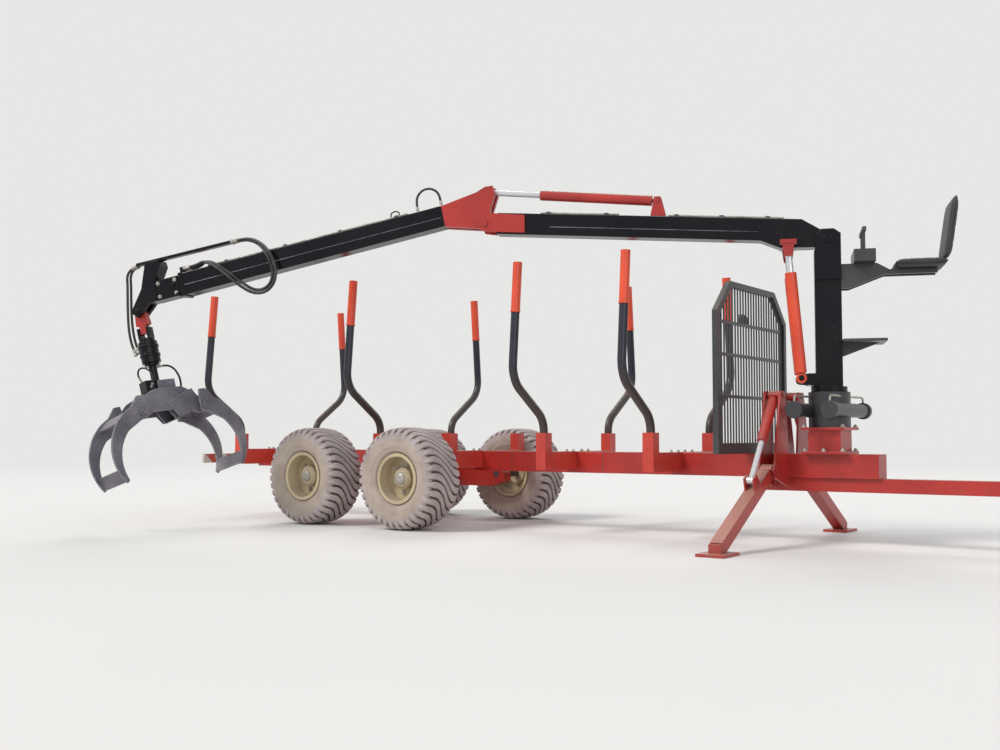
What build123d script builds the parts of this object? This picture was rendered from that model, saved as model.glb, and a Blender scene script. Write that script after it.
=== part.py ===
from build123d import *
import os
from math import atan2, cos, degrees, hypot, pi, radians, sin, tan

os.makedirs("parts", exist_ok=True)

# Lengths are in millimetres. X runs forward to the towing eye, Y to the left, Z up.
# Heights are measured from the ground and X from the middle of the bogie, and the
# export moves everything so that the middle of the towing eye is the origin.

# Wheels and bogie
tyre_radius = 437
tyre_width = 404
tyre_bead_radius = 200
tyre_sides = 24
wall_radius = 250
lug_count = 36
lug_half = 3.3
rim_width = 330
rim_flange_radius = 216
rim_wall = 12
disc_inset = 130
disc_thickness = 14
hub_radius = 92
hub_length = 150
spindle_radius = 30
wheel_track = 1630
lug_rows = [
    # share of the half width, turn of the lug in degrees, depth of its top, depth of the groove
    (-1, -14.5, 26, 51),
    (-0.545, -13.3, 0, 29),
    (0, 0, 0, 27),
    (0.545, 13.3, 0, 29),
    (1, 14.5, 26, 51),
]
bogie_base = 1132
rocker_middle = 500
rocker_width = 110
rocker_height = 150
rocker_z = 400
pivot_tube_radius = 55
running_gap = 0.3

# Frame
beam_width = 180
beam_bottom = 490
beam_height = 175
beam_rear = -2150
pillar_x = 3950
beam_front = pillar_x + 380
drawbar_height = 100
drawbar_width = 120
drawbar_rear = pillar_x - 500
eye_x = 5650
eye_bore = 25
eye_radius = 62
eye_thickness = 44

# Bunks: station of each pair of pockets, and whether stakes stand in them
bunk_rows = [
    # X, stakes
    (-1926, True),
    (-38, True),
    (763, False),
    (1756, True),
    (2739, True),
]
pocket_y = 516
pocket_size = 94
pocket_wall = 8
pocket_bottom = 521
pocket_top = 823
bunk_arm_bottom = 520
bunk_arm_height = 150
bunk_arm_length = 100
stake_radius = 34
tip_radius = 37
tip_rim_radius = 40
stake_knee = (516, 930)
stake_elbow = (962, 1240)
stake_end = (885, 2178)
stake_knee_radius = 180
stake_elbow_radius = 230
tip_start_z = 1775

# Headboard
board_x = 3344
board_half_width = 655
board_top = 1950
board_corner = 235
board_tube = 44
board_sill_height = 80
board_bar_radius = 6
board_bar_pitch = 50
lamp_y = -40
lamp_z = 1695
lamp_radius = 45
lamp_depth = 60
board_rails = (1090, 1400, 1640)

# Crane foot and pillar
slew_angle = 22
foot_size = 320
foot_top = 860
housing_radius = 150
housing_top = 1120
rack_radius = 52
rack_length = 760
rack_z = 985
pillar_depth = 190
pillar_width = 150
pillar_top = 2168
cheek_thickness = 18
boom_pivot_z = 2250
pivot_boss_radius = 62
pivot_pin_radius = 30

# Main boom
boom_tilt = 4
boom_axis_lift = 61
boom_height = 168
boom_width = 140
boom_start = 190
boom_length = 2620
knuckle_cheek = 16

# Outer boom, in its own frame at the knuckle, x along it and z square to it
knuckle_s = boom_length
knuckle_z = boom_pivot_z + boom_axis_lift + boom_length * sin(radians(boom_tilt))
outer_slope = 11.5
outer_axis_lift = 143
outer_start = 326
outer_end = 2725
outer_butt_height = 168
outer_tip_height = 190
collar_length = 35
collar_rim = 8
outer_width = 140
slide_gap = 0.4
extension_height = 150
extension_width = 112
extension_tail = 1180
extension_head = 3000
sleeve_start = outer_end + 15
sleeve_end = 2960
extension_stroke = 1150
tip_pin_x = 3170
tip_pin_z = 4
tray_start = 2205
tray_end = 3131
tray_low = 393
tray_rise = 17
tray_height = 26
tray_width = 50

# Cylinders: bore side radius, rod radius, eye radius
lift_barrel_radius = 42
lift_rod_radius = 24
lift_spread = 140
lift_base = (200, 1220)
lift_eye = (280, 2150)
lift_barrel_length = 780
lift_plate_clear = 64
outer_barrel_radius = 40
outer_rod_radius = 22
outer_base = (knuckle_s - 1370, knuckle_z + 120)
outer_eye = (knuckle_s - 40, knuckle_z + 255)
outer_barrel_length = 930
leg_barrel_radius = 38
leg_rod_radius = 20
leg_barrel_length = 425
eye_width = 52
side_gap = 2.5

# Support legs, in the plane across the trailer
leg_x = 3600
leg_pivot_y = 330
leg_pivot_z = 545
leg_foot_y = 1200
leg_size = 90
leg_lug_reach = 300
leg_lug_lift = 98
leg_base_y = 185
leg_base_z = 1100
pad_length = 260
pad_width = 200
pad_thickness = 20

# Free hoses: routes in the frame that carries them
tip_hose_radius = 13
manifold_hose_radius = 9
knuckle_hose_radius = 10
tip_hose_front = [
    (2205, 14, 406),
    (2106, 14, 406),
    (1998, 48, 372),
    (1902, 92, 300),
    (1838, 124, 208),
    (1812, 126, 110),
    (1810, 124, 20),
    (1846, 124, -66),
    (1930, 122, -118),
    (2040, 120, -104),
    (2142, 118, -24),
    (2236, 118, 88),
    (2342, 116, 206),
    (2450, 94, 284),
    (2570, 18, 284),
    (2680, 18, 284),
]
tip_hose_rear = [
    (2205, -16, 406),
    (2110, -16, 406),
    (2012, 18, 364),
    (1934, 64, 300),
    (1880, 100, 216),
    (1852, 98, 118),
    (1850, 97, 28),
    (1884, 97, -46),
    (1956, 95, -84),
    (2044, 93, -70),
    (2130, 92, 4),
    (2222, 91, 108),
    (2336, 91, 226),
    (2444, 66, 290),
    (2560, -12, 268),
    (2680, -12, 268),
]
knuckle_hose = [
    (536, 30, 228),
    (536, 30, 300),
    (520, 30, 366),
    (472, 30, 404),
    (416, 30, 404),
    (368, 30, 366),
    (354, 30, 300),
    (354, 30, 227.2),
]
manifold_hose = [
    (-31.2, -13.6, -492),
    (-82, -35.8, -492),
    (-128, -68, -504),
    (-154, -106, -556),
    (-154, -144, -622),
    (-130, -176, -688),
    (-114, -192, -726),
]

# Link, rotator and grapple, hanging from the tip pin; the grapple's own heights start
# at the swivel pin below the link
hang_tilt = 14.2
link_length = 165
link_width = 60
swivel_radius = 18
ear_half = 44
rotator_radius = 80
rotator_top = -100
rotator_bottom = -290
flange_bottom = -312
shaft_radius = 34
bracket_top = -455
grapple_turn = 80
plate_half_width = 150
plate_thickness = 14
plate_top = -545
claw_pivot = (291, -748)
claw_pin_radius = 20
claw_thickness = 22
claw_spread = 220
claw_arc_centre = (190, -1068)
claw_arc_radius = 427
claw_tip = (535, -1305)
cover_half_width = 105
cover_wall = 8
cover_corners = [(-27, -670), (226, -573), (327, -746), (65, -818)]


def to_deg(run, rise):
    return degrees(atan2(rise, run))


def box(x_range, y_range, z_range):
    size = [high - low for low, high in (x_range, y_range, z_range)]
    middle = [(low + high) / 2 for low, high in (x_range, y_range, z_range)]
    return Pos(*middle) * Box(*size)


def profile(points, width, middle=0):
    """A side view of corners (x, z), extruded to a width along Y."""
    face = make_face(Polyline(*points, close=True))
    return Pos(0, middle, 0) * Rot(90, 0, 0) * Pos(0, 0, -width / 2) * extrude(face, width)


def cross_pin(x, z, radius, width, middle=0):
    return Pos(x, middle, z) * Rot(90, 0, 0) * Cylinder(radius, width)


def upright(x, y, radius, z_range):
    return Pos(x, y, sum(z_range) / 2) * Cylinder(radius, z_range[1] - z_range[0])


def strut(start, end, radius, middle=0, begin=0, finish=None):
    """A round bar in the XZ plane along start to end, between two distances from start."""
    run, rise = end[0] - start[0], end[1] - start[1]
    finish = hypot(run, rise) if finish is None else finish
    bar = Pos((begin + finish) / 2, 0, 0) * Rot(0, 90, 0) * Cylinder(radius, finish - begin)
    return Pos(start[0], middle, start[1]) * Rot(0, -to_deg(run, rise), 0) * bar


def hose(points, radius):
    """A tube along a hand-laid route; each bend is as wide as its two runs allow."""
    spots = [Vector(*point) for point in points]
    bends = []
    for before, spot, after in zip(spots, spots[1:], spots[2:]):
        turn = (spot - before).get_angle(after - spot)
        shorter = min((spot - before).length, (after - spot).length)
        bends.append(0.45 * shorter / tan(radians(turn / 2)))
    path = FilletPolyline(*spots, radius=bends)
    start = Plane(origin=spots[0], z_dir=spots[1] - spots[0])
    return sweep(start * Circle(radius), path=path)


def mirrored(shape):
    return mirror(shape, about=Plane.XZ)


# Frames in which the crane's pieces are drawn
ground = Pos(-eye_x, 0, -(beam_bottom - drawbar_height / 2))
crane = Pos(pillar_x, 0, 0) * Rot(0, 0, 180 + slew_angle)
outer = crane * Pos(knuckle_s, 0, knuckle_z) * Rot(0, outer_slope, 0)
hang = outer * Pos(tip_pin_x, 0, tip_pin_z) * Rot(0, hang_tilt - outer_slope, 0)
swivel = hang * Pos(0, 0, -link_length)
grapple = swivel * Rot(0, 0, grapple_turn - 180 - slew_angle)

nodes = {}


def keep(name, shape, frame=None):
    nodes[name] = ground * (frame * shape if frame else shape)


# Running gear
def on_wheel(angle, radius, y):
    return (radius * sin(radians(angle)), y, radius * cos(radians(angle)))


def wheel_ring(radius, y):
    return [on_wheel(360 * index / tyre_sides, radius, y) for index in range(tyre_sides)]


def band(first, second):
    """Flat faces between two rings of corners that stand in line."""
    turned = zip(first, first[1:] + first[:1], second[1:] + second[:1], second)
    return [Face(Wire.make_polygon(corners)) for corners in turned]


def belt(first, second):
    """Triangles between two rings of corners that are turned against each other."""
    faces = []
    for a, b, c, d in zip(first, first[1:] + first[:1], second[1:] + second[:1], second):
        faces.append(Face(Wire.make_polygon([a, b, d])))
        faces.append(Face(Wire.make_polygon([b, c, d])))
    return faces


def washer(outside, inside):
    return Face(Wire.make_polygon(outside), [Wire.make_polygon(inside)])


def tyre():
    """A faceted carcass whose lugs run in an S from shoulder to shoulder."""
    step = 360 / lug_count
    rows = []
    for share, turn, top, groove in lug_rows:
        y = share * tyre_width / 2
        row = []
        for index in range(lug_count):
            middle = turn + index * step
            row.append(on_wheel(middle - lug_half, tyre_radius - top, y))
            row.append(on_wheel(middle + lug_half, tyre_radius - top, y))
            row.append(on_wheel(middle + step / 2, tyre_radius - groove, y))
        rows.append(row)
    faces = []
    for first, second in zip(rows, rows[1:]):
        faces += belt(first, second)
    bead = (tyre_bead_radius + 0.1) / cos(pi / tyre_sides)
    inner = rim_width / 2 - rim_wall
    for side, row in ((-1, rows[0]), (1, rows[-1])):
        wall = wheel_ring(wall_radius, side * tyre_width / 2)
        seat = wheel_ring(rim_flange_radius + 10, side * inner)
        hole = wheel_ring(bead, side * inner)
        faces += [washer(row, wall), washer(seat, hole), *band(wall, seat)]
    faces += band(wheel_ring(bead, -inner), wheel_ring(bead, inner))
    return Solid(Shell(faces))


def rim():
    half = rim_width / 2
    seat = tyre_bead_radius - running_gap
    disc = half - disc_inset - disc_thickness
    lip = half - rim_wall + 0.5
    outline = [
        (spindle_radius + running_gap, disc - 60),
        (spindle_radius + running_gap, disc + hub_length - 60),
        (hub_radius - 25, disc + hub_length - 60),
        (hub_radius, disc + hub_length - 85),
        (hub_radius, disc + disc_thickness),
        (seat - rim_wall, disc + disc_thickness),
        (seat - rim_wall, half),
        (rim_flange_radius, half),
        (rim_flange_radius, lip),
        (seat, lip),
        (seat, -lip),
        (rim_flange_radius, -lip),
        (rim_flange_radius, -half),
        (seat - rim_wall, -half),
        (seat - rim_wall, disc),
        (hub_radius, disc),
        (hub_radius, disc - 60),
    ]
    face = make_face(Plane.XZ * Polyline(*outline, close=True))
    return Rot(90, 0, 0) * revolve(face, Axis.Z)


wheel_places = [
    # name, X, side
    ("front_left", bogie_base / 2, 1),
    ("front_right", bogie_base / 2, -1),
    ("rear_left", -bogie_base / 2, 1),
    ("rear_right", -bogie_base / 2, -1),
]
tyre_shape = tyre()
rim_shape = mirrored(rim())
for place, x, side in wheel_places:
    centre = Pos(x, side * wheel_track / 2, tyre_radius)
    keep(f"tyre_{place}", centre * tyre_shape)
    keep(f"rim_{place}", centre * (rim_shape if side > 0 else mirrored(rim_shape)))


def bogie_rockers():
    reach = bogie_base / 2
    low, high = rocker_z - rocker_height / 2, rocker_z + rocker_height / 2
    side = [
        (-reach - 90, low + 50),
        (-reach + 60, low),
        (reach - 60, low),
        (reach + 90, low + 50),
        (reach + 90, high - 20),
        (reach + 60, high),
        (-reach - 60, high),
        (-reach - 90, high - 20),
    ]
    rocker = profile(side, rocker_width, rocker_middle)
    rocker -= cross_pin(0, rocker_z, pivot_tube_radius, 400, rocker_middle)
    for x in (-reach, reach):
        rocker -= cross_pin(x, tyre_radius, spindle_radius, 400, rocker_middle)
    return Compound([rocker, mirrored(rocker)])


def bogie_axle():
    tube = cross_pin(0, rocker_z, pivot_tube_radius, 2 * rocker_middle + rocker_width + 40)
    saddles = []
    for x in (-70, 50):
        plate = [(x, rocker_z), (x + 20, rocker_z), (x + 20, beam_bottom), (x, beam_bottom)]
        saddles.append(profile(plate, 2 * (rocker_middle - rocker_width / 2) - 80))
    return tube + saddles


def wheel_spindles():
    rocker_in = rocker_middle - rocker_width / 2
    disc = rim_width / 2 - disc_inset - disc_thickness
    end = wheel_track / 2 + disc + hub_length - 60 - 25
    shapes = []
    for _, x, side in wheel_places:
        middle = side * (rocker_in + end) / 2
        shapes.append(cross_pin(x, tyre_radius, spindle_radius, end - rocker_in, middle))
    return Compound(shapes)


keep("bogie_rockers", bogie_rockers())
keep("bogie_axle", bogie_axle())
keep("wheel_spindles", wheel_spindles())


# Frame and load space
def main_beam():
    sides = (-beam_width / 2, beam_width / 2)
    beam = box((beam_rear, beam_front), sides, (beam_bottom, beam_bottom + beam_height))
    tail = box((beam_rear - 30, beam_rear), (-260, 260), (beam_bottom + 20, beam_bottom + 150))
    return beam + tail


def drawbar():
    top = beam_bottom
    half = drawbar_width / 2
    return box((drawbar_rear, eye_x - eye_radius - 40), (-half, half), (top - drawbar_height, top))


def towing_eye():
    middle = beam_bottom - drawbar_height / 2
    ring = Pos(eye_x, 0, middle) * Cylinder(eye_radius, eye_thickness)
    neck_start = eye_x - eye_radius - 40
    half = eye_thickness / 2
    neck = box((neck_start, eye_x - 20), (-40, 40), (middle - half, middle + half))
    bore = Pos(eye_x, 0, middle) * Cylinder(eye_bore, 2 * eye_thickness)
    return ring + neck - bore


def bunk(x):
    half, arm = pocket_size / 2, bunk_arm_length / 2
    inner = half - pocket_wall
    left = box((x - half, x + half), (pocket_y - half, pocket_y + half), (pocket_bottom, pocket_top))
    left += box(
        (x - arm, x + arm),
        (beam_width / 2, pocket_y - half),
        (bunk_arm_bottom, bunk_arm_bottom + bunk_arm_height),
    )
    left -= box(
        (x - inner, x + inner),
        (pocket_y - inner, pocket_y + inner),
        (pocket_bottom + pocket_wall, pocket_top + 1),
    )
    return [left, mirrored(left)]


def stake_line():
    foot = (pocket_y, pocket_bottom + pocket_wall)
    return [foot, stake_knee, stake_elbow, stake_end]


def stake_break():
    (y0, z0), (y1, z1) = stake_elbow, stake_end
    share = (tip_start_z - z0) / (z1 - z0)
    return (y0 + share * (y1 - y0), tip_start_z)


def stake_lower():
    points = [(0, y, z) for y, z in stake_line()[:3] + [stake_break()]]
    path = FilletPolyline(*points, radius=[stake_knee_radius, stake_elbow_radius])
    start = Plane(origin=points[0], x_dir=(1, 0, 0), z_dir=(0, 0, 1))
    return sweep(start * Circle(stake_radius), path=path)


def stake_tip():
    (y0, z0), (y1, z1) = stake_break(), stake_end
    length = hypot(y1 - y0, z1 - z0)
    bar = Pos(0, 0, length / 2) * Cylinder(tip_radius, length)
    bar += Pos(0, 0, 8) * Cylinder(tip_rim_radius, 16)
    return Pos(0, y0, z0) * Rot(degrees(atan2(y0 - y1, z1 - z0)), 0, 0) * bar


lower_shape = stake_lower()
tip_shape = stake_tip()
bunks, lowers, tips = [], [], []
for x, stands in bunk_rows:
    bunks += bunk(x)
    if stands:
        lowers += [Pos(x, 0, 0) * lower_shape, Pos(x, 0, 0) * mirrored(lower_shape)]
        tips += [Pos(x, 0, 0) * tip_shape, Pos(x, 0, 0) * mirrored(tip_shape)]
keep("main_beam", main_beam())
keep("drawbar", drawbar())
keep("towing_eye", towing_eye())
keep("bunks", Compound(bunks))
keep("stakes", Compound(lowers))
keep("stake_tips", Compound(tips))


def headboard_outline(inset):
    half, corner = board_half_width - inset, board_corner
    top = board_top - inset
    low = beam_bottom + beam_height
    slack = inset * 0.41
    return [
        (-half, low),
        (-half, top - corner + slack),
        (-half + corner - slack, top),
        (half - corner + slack, top),
        (half, top - corner + slack),
        (half, low),
    ]


def headboard_frame():
    outer_face = make_face(Polyline(*headboard_outline(0), close=True))
    inner_face = make_face(Polyline(*headboard_outline(board_tube), close=True))
    sill_top = beam_bottom + beam_height + board_sill_height
    turn = Pos(board_x, 0, 0) * Rot(0, 0, 90) * Rot(90, 0, 0)
    frame = turn * Pos(0, 0, -board_tube / 2) * extrude(outer_face, board_tube)
    hole = turn * Pos(0, 0, -board_tube) * extrude(inner_face, 2 * board_tube)
    hole -= box((board_x - 200, board_x + 200), (-2000, 2000), (0, sill_top))
    return frame - hole


def headboard_grille():
    half = board_half_width - board_tube
    sill_top = beam_bottom + beam_height + board_sill_height
    depth = board_bar_radius
    shapes = []
    for z in board_rails:
        shapes.append(box((board_x - depth, board_x + depth), (-half, half), (z - 12, z + 12)))
    count = int(half / board_bar_pitch)
    for index in range(-count, count + 1):
        y = index * board_bar_pitch
        slope_start = board_half_width - board_corner - board_tube * (1 - 0.41)
        over = max(0, abs(y) - slope_start)
        top = board_top - board_tube - over - board_bar_radius * (over > 0)
        half_bar = board_bar_radius - 1
        sides = (board_x - half_bar, board_x + half_bar), (y - half_bar, y + half_bar)
        shapes.append(box(*sides, (sill_top, top)))
    bars = shapes[0]
    for shape in shapes[1:]:
        bars += shape
    return bars


def work_lamp():
    """Round lamp on the headboard's upper rail, facing the load."""
    rear = board_x - board_bar_radius
    lamp = Pos(rear - 15 - lamp_depth / 2, lamp_y, lamp_z) * Rot(0, 90, 0) * Cylinder(lamp_radius, lamp_depth)
    rail = board_rails[-1]
    lamp += box((rear - 16, rear), (lamp_y - 20, lamp_y + 20), (rail - 12, lamp_z + 10))
    return lamp


keep("headboard_frame", headboard_frame())
keep("headboard_grille", headboard_grille())
keep("work_lamp", work_lamp())


def lamp_board():
    half_width, middle = 780, beam_bottom + 85
    rear = beam_rear - 30
    board = box((rear - 30, rear), (-half_width, half_width), (middle - 45, middle + 45))
    return board


def rear_lamps():
    rear, middle = beam_rear - 60, beam_bottom + 85
    lamps = []
    for side in (-1, 1):
        y = side * 650
        lamps.append(box((rear - 40, rear), (y - 100, y + 100), (middle - 40, middle + 40)))
    return Compound(lamps)


keep("lamp_board", lamp_board())
keep("rear_lamps", rear_lamps())


# Support legs
def leg_reach():
    return hypot(leg_foot_y - leg_pivot_y, leg_pivot_z - pad_thickness - 30)


def leg_lug():
    """Eye of the leg cylinder on the left leg, as (y, z)."""
    drop = atan2(pad_thickness + 30 - leg_pivot_z, leg_foot_y - leg_pivot_y)
    y = leg_pivot_y + leg_lug_reach * cos(drop) - leg_lug_lift * sin(drop)
    return (y, leg_pivot_z + leg_lug_reach * sin(drop) + leg_lug_lift * cos(drop))


# The leg is drawn in XZ with x outward, then turned so that x lies along Y
leg_plane = Pos(leg_x, 0, 0) * Rot(0, 0, 90)


def support_leg():
    pivot = (leg_pivot_y, leg_pivot_z)
    foot = (leg_foot_y, pad_thickness + 30)
    drop = to_deg(foot[0] - pivot[0], foot[1] - pivot[1])
    reach = leg_reach()
    tube = Pos(reach / 2 + 25, 0, 0) * Box(reach - 50, leg_size, leg_size)
    for middle in (-eye_width / 2 - side_gap - 6, eye_width / 2 + side_gap + 6):
        lug = [
            (leg_lug_reach - 55, leg_size / 2 - 1),
            (leg_lug_reach + 55, leg_size / 2 - 1),
            (leg_lug_reach + 30, leg_lug_lift + 32),
            (leg_lug_reach - 30, leg_lug_lift + 32),
        ]
        tube += profile(lug, 12, middle)
    boss = cross_pin(0, 0, 45, leg_size)
    web = Pos(50, 0, 0) * Box(90, leg_size - 30, 70)
    leg = tube + boss + web - cross_pin(0, 0, 20 + running_gap, 2 * leg_size)
    leg = Pos(pivot[0], 0, pivot[1]) * Rot(0, -drop, 0) * leg
    half = pad_length / 2
    pad = box((foot[0] - half, foot[0] + half), (-pad_width / 2, pad_width / 2), (0, pad_thickness))
    ankle = box((foot[0] - 45, foot[0] + 45), (-45, 45), (pad_thickness - 1, pad_thickness + 60))
    return leg_plane * (leg + pad + ankle)


def leg_bracket():
    low, high = beam_bottom - drawbar_height, beam_bottom + beam_height
    start = beam_width / 2
    shapes = []
    for middle in (-leg_size / 2 - 14, leg_size / 2 + 14):
        plate = [
            (start, low + 30),
            (leg_pivot_y + 20, leg_pivot_z - 55),
            (leg_pivot_y + 50, leg_pivot_z),
            (leg_pivot_y + 20, leg_pivot_z + 50),
            (leg_base_y + 45, leg_base_z + 30),
            (leg_base_y - 45, leg_base_z + 30),
            (start, high),
        ]
        shapes.append(profile(plate, 16, middle))
    pins = cross_pin(leg_pivot_y, leg_pivot_z, 20, leg_size + 60)
    pins += cross_pin(leg_base_y, leg_base_z, 16, leg_size + 60)
    return leg_plane * (shapes[0] + shapes[1] + pins)


def leg_barrel():
    base, eye = (leg_base_y, leg_base_z), leg_lug()
    barrel = strut(base, eye, leg_barrel_radius, 0, 45, leg_barrel_length)
    barrel += strut(base, eye, leg_rod_radius - 2, 0, 10, 50)
    barrel += cross_pin(base[0], base[1], 32, eye_width + 30)
    barrel -= strut(base, eye, leg_rod_radius + running_gap, 0, 60, leg_barrel_length + 10)
    return leg_plane * (barrel - cross_pin(base[0], base[1], 16 + running_gap, 200))


def leg_rod():
    base, eye = (leg_base_y, leg_base_z), leg_lug()
    length = hypot(eye[0] - base[0], eye[1] - base[1])
    rod = strut(base, eye, leg_rod_radius, 0, leg_barrel_length - 80, length - 20)
    rod += cross_pin(eye[0], eye[1], 26, eye_width)
    return leg_plane * (rod - cross_pin(eye[0], eye[1], 14, 100))


for side in ("left", "right"):
    flip = (lambda shape: shape) if side == "left" else mirrored
    keep(f"support_leg_{side}", flip(support_leg()))
    keep(f"leg_cylinder_{side}", flip(leg_barrel()))
    keep(f"leg_rod_{side}", flip(leg_rod()))
keep("leg_brackets", Compound([leg_bracket(), mirrored(leg_bracket())]))


# Crane foot, slew housing and pillar
def crane_foot():
    top = beam_bottom + beam_height
    half = foot_size / 2
    foot = box((-half, half), (-half, half), (top, top + 20))
    foot += box((-half + 40, half - 40), (-half + 40, half - 40), (top + 20, foot_top - 20))
    foot += box((-half, half), (-half, half), (foot_top - 20, foot_top))
    return Pos(pillar_x, 0, 0) * foot


def slew_housing():
    housing = Cylinder(housing_radius, housing_top - foot_top)
    housing = Pos(pillar_x, 0, (foot_top + housing_top) / 2) * housing
    for side in (-1, 1):
        x = pillar_x + side * (housing_radius - 20)
        housing += cross_pin(x, rack_z, rack_radius, rack_length)
        for end in (-1, 1):
            y = end * (rack_length / 2 - 20)
            housing += cross_pin(x, rack_z, rack_radius + 10, 40, y)
    return housing


keep("crane_foot", crane_foot())
keep("slew_housing", slew_housing())


def pillar():
    half_depth, half_width = pillar_depth / 2, pillar_width / 2
    low = housing_top + running_gap
    column = box((-half_depth, half_depth), (-half_width, half_width), (low + 30, pillar_top))
    column += upright(0, 0, housing_radius - 20, (low, low + 40))
    cheek = [
        (-half_depth, pillar_top - 220),
        (half_depth, pillar_top - 220),
        (half_depth - 15, boom_pivot_z + 40),
        (half_depth - 50, boom_pivot_z + 75),
        (-half_depth + 50, boom_pivot_z + 75),
        (-half_depth, boom_pivot_z + 40),
    ]
    offset = half_width + cheek_thickness / 2
    for middle in (-offset, offset):
        column += profile(cheek, cheek_thickness, middle)
    column += cross_pin(0, boom_pivot_z, pivot_pin_radius, pillar_width + 2 * cheek_thickness + 24)
    # the bracket that carries the two lift cylinders
    s, z = lift_base
    bracket = [(half_depth - 5, z - 60), (s + 30, z - 30), (s + 30, z + 30), (half_depth - 5, z + 38)]
    inner = lift_spread - eye_width / 2 - side_gap - 8
    for middle in (-inner, inner):
        column += profile(bracket, 16, middle)
    column += box((half_depth - 5, s - 50), (-inner - 8, inner + 8), (z - 50, z + 36))
    column += cross_pin(s, z, 20, 2 * lift_spread + 60)
    return column


keep("pillar", pillar(), crane)


def operator_seat():
    pan = box((-820, -460), (-220, 220), (2010, 2070))
    back = profile([(-790, 2060), (-830, 2060), (-900, 2520), (-860, 2520)], 420)
    return pan + back


def seat_frame():
    arms = []
    for middle in (-60, 60):
        rail = [
            (-95, 1880),
            (-95, 2060),
            (-345, 2060),
            (-430, 2010),
            (-760, 2010),
            (-760, 1975),
            (-400, 1975),
            (-150, 1880),
        ]
        arms.append(profile(rail, 30, middle))
    rest = box((-400, -95), (-190, 190), (1480, 1500))
    rest += profile([(-95, 1380), (-95, 1480), (-360, 1480)], 40)
    return Compound([*arms, rest])


def control_console():
    block = box((-330, -180), (-190, 190), (2060, 2150))
    for index in range(7):
        block += upright(-255, -156 + 52 * index, 6, (2150, 2290))
        block += upright(-255, -156 + 52 * index, 14, (2284, 2316))
    return block


keep("operator_seat", operator_seat(), crane)
keep("seat_frame", seat_frame(), crane)
keep("control_console", control_console(), crane)


# Main boom with the brackets for its cylinders
def boom_line(s):
    """Height of the boom's middle line over the ground at a distance from the pillar."""
    return boom_pivot_z + boom_axis_lift + s * sin(radians(boom_tilt))


def main_boom():
    """The boom and its root, drawn at its pivot and tilted into the crane's frame."""
    low, high = boom_axis_lift - boom_height / 2, boom_axis_lift + boom_height / 2
    end = boom_length - 90
    side = [
        (-35, -52),
        (60, -60),
        (330, -75),
        (480, low),
        (end, low),
        (end, high),
        (boom_start, high),
        (20, 55),
        (-35, 52),
    ]
    beam = profile(side, boom_width)
    beam += cross_pin(0, 0, pivot_boss_radius, pillar_width - 1)
    beam -= cross_pin(0, 0, pivot_pin_radius + running_gap, 300)
    return Pos(0, 0, boom_pivot_z) * Rot(0, -boom_tilt, 0) * beam


def knuckle_bracket():
    """Cheeks at the boom's end that hold the knuckle pin, in the crane's frame."""
    s, z = knuckle_s, knuckle_z
    start = s - 330
    cheek = [
        (start, boom_line(start) - 70),
        (s - 60, z - 75),
        (s + 30, z - 60),
        (s + 62, z),
        (s + 30, z + 60),
        (s - 60, z + 75),
        (start, boom_line(start) + 70),
    ]
    offset = boom_width / 2 + knuckle_cheek / 2
    shape = profile(cheek, knuckle_cheek, offset) + profile(cheek, knuckle_cheek, -offset)
    return shape + cross_pin(s, z, 28, boom_width + 2 * knuckle_cheek + 20)


def boom_brackets():
    """Red lugs: the base of the outer cylinder on top and the lift cylinders' clevis below."""
    s, z = lift_eye
    low = z + lift_plate_clear
    cross = box((s - 60, s + 60), (-lift_spread - 45, lift_spread + 45), (low, low + 30))
    for side in (-1, 1):
        for offset in (-1, 1):
            middle = side * lift_spread + offset * (eye_width / 2 + side_gap + 6)
            lug = [(s - 45, low + 10), (s - 30, z - 30), (s + 30, z - 30), (s + 45, low + 10)]
            cross += profile(lug, 12, middle)
    beam = main_boom()
    cross -= beam
    s, z = outer_base
    top = boom_line(s) + boom_height / 2
    lugs = []
    for middle in (-eye_width / 2 - side_gap - 8, eye_width / 2 + side_gap + 8):
        lug = [(s - 70, top - 20), (s - 25, z + 28), (s + 25, z + 28), (s + 60, top - 20)]
        lugs.append(profile(lug, 16, middle))
    pin = cross_pin(s, z, 16, eye_width + 2 * side_gap + 40)
    return Compound([cross, lugs[0] + lugs[1] + pin - beam])


keep("main_boom", main_boom(), crane)
keep("knuckle_bracket", knuckle_bracket(), crane)
keep("boom_brackets", boom_brackets(), crane)


def lift_barrels():
    shapes = []
    for middle in (-lift_spread, lift_spread):
        barrel = strut(lift_base, lift_eye, lift_barrel_radius, middle, 40, lift_barrel_length)
        barrel += cross_pin(lift_base[0], lift_base[1], 38, eye_width, middle)
        barrel += strut(lift_base, lift_eye, 22, middle, 10, 45)
        bore = lift_rod_radius + running_gap
        barrel -= strut(lift_base, lift_eye, bore, middle, 80, lift_barrel_length + 20)
        shapes.append(barrel - cross_pin(lift_base[0], lift_base[1], 20 + running_gap, 900))
    return Compound(shapes)


def lift_rods():
    length = hypot(lift_eye[0] - lift_base[0], lift_eye[1] - lift_base[1])
    shapes = []
    for middle in (-lift_spread, lift_spread):
        rod = strut(lift_base, lift_eye, lift_rod_radius, middle, 400, length - 22)
        rod += cross_pin(lift_eye[0], lift_eye[1], 30, eye_width, middle)
        shapes.append(rod - cross_pin(lift_eye[0], lift_eye[1], 15, 900))
    return Compound(shapes)


def outer_barrel():
    barrel = strut(outer_base, outer_eye, outer_barrel_radius, 0, 45, outer_barrel_length)
    barrel += cross_pin(outer_base[0], outer_base[1], 26, eye_width)
    barrel += strut(outer_base, outer_eye, 15, 0, 10, 50)
    bore = outer_rod_radius + running_gap
    barrel -= strut(outer_base, outer_eye, bore, 0, 70, outer_barrel_length + 10)
    return barrel - cross_pin(outer_base[0], outer_base[1], 16 + running_gap, 200)


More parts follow.
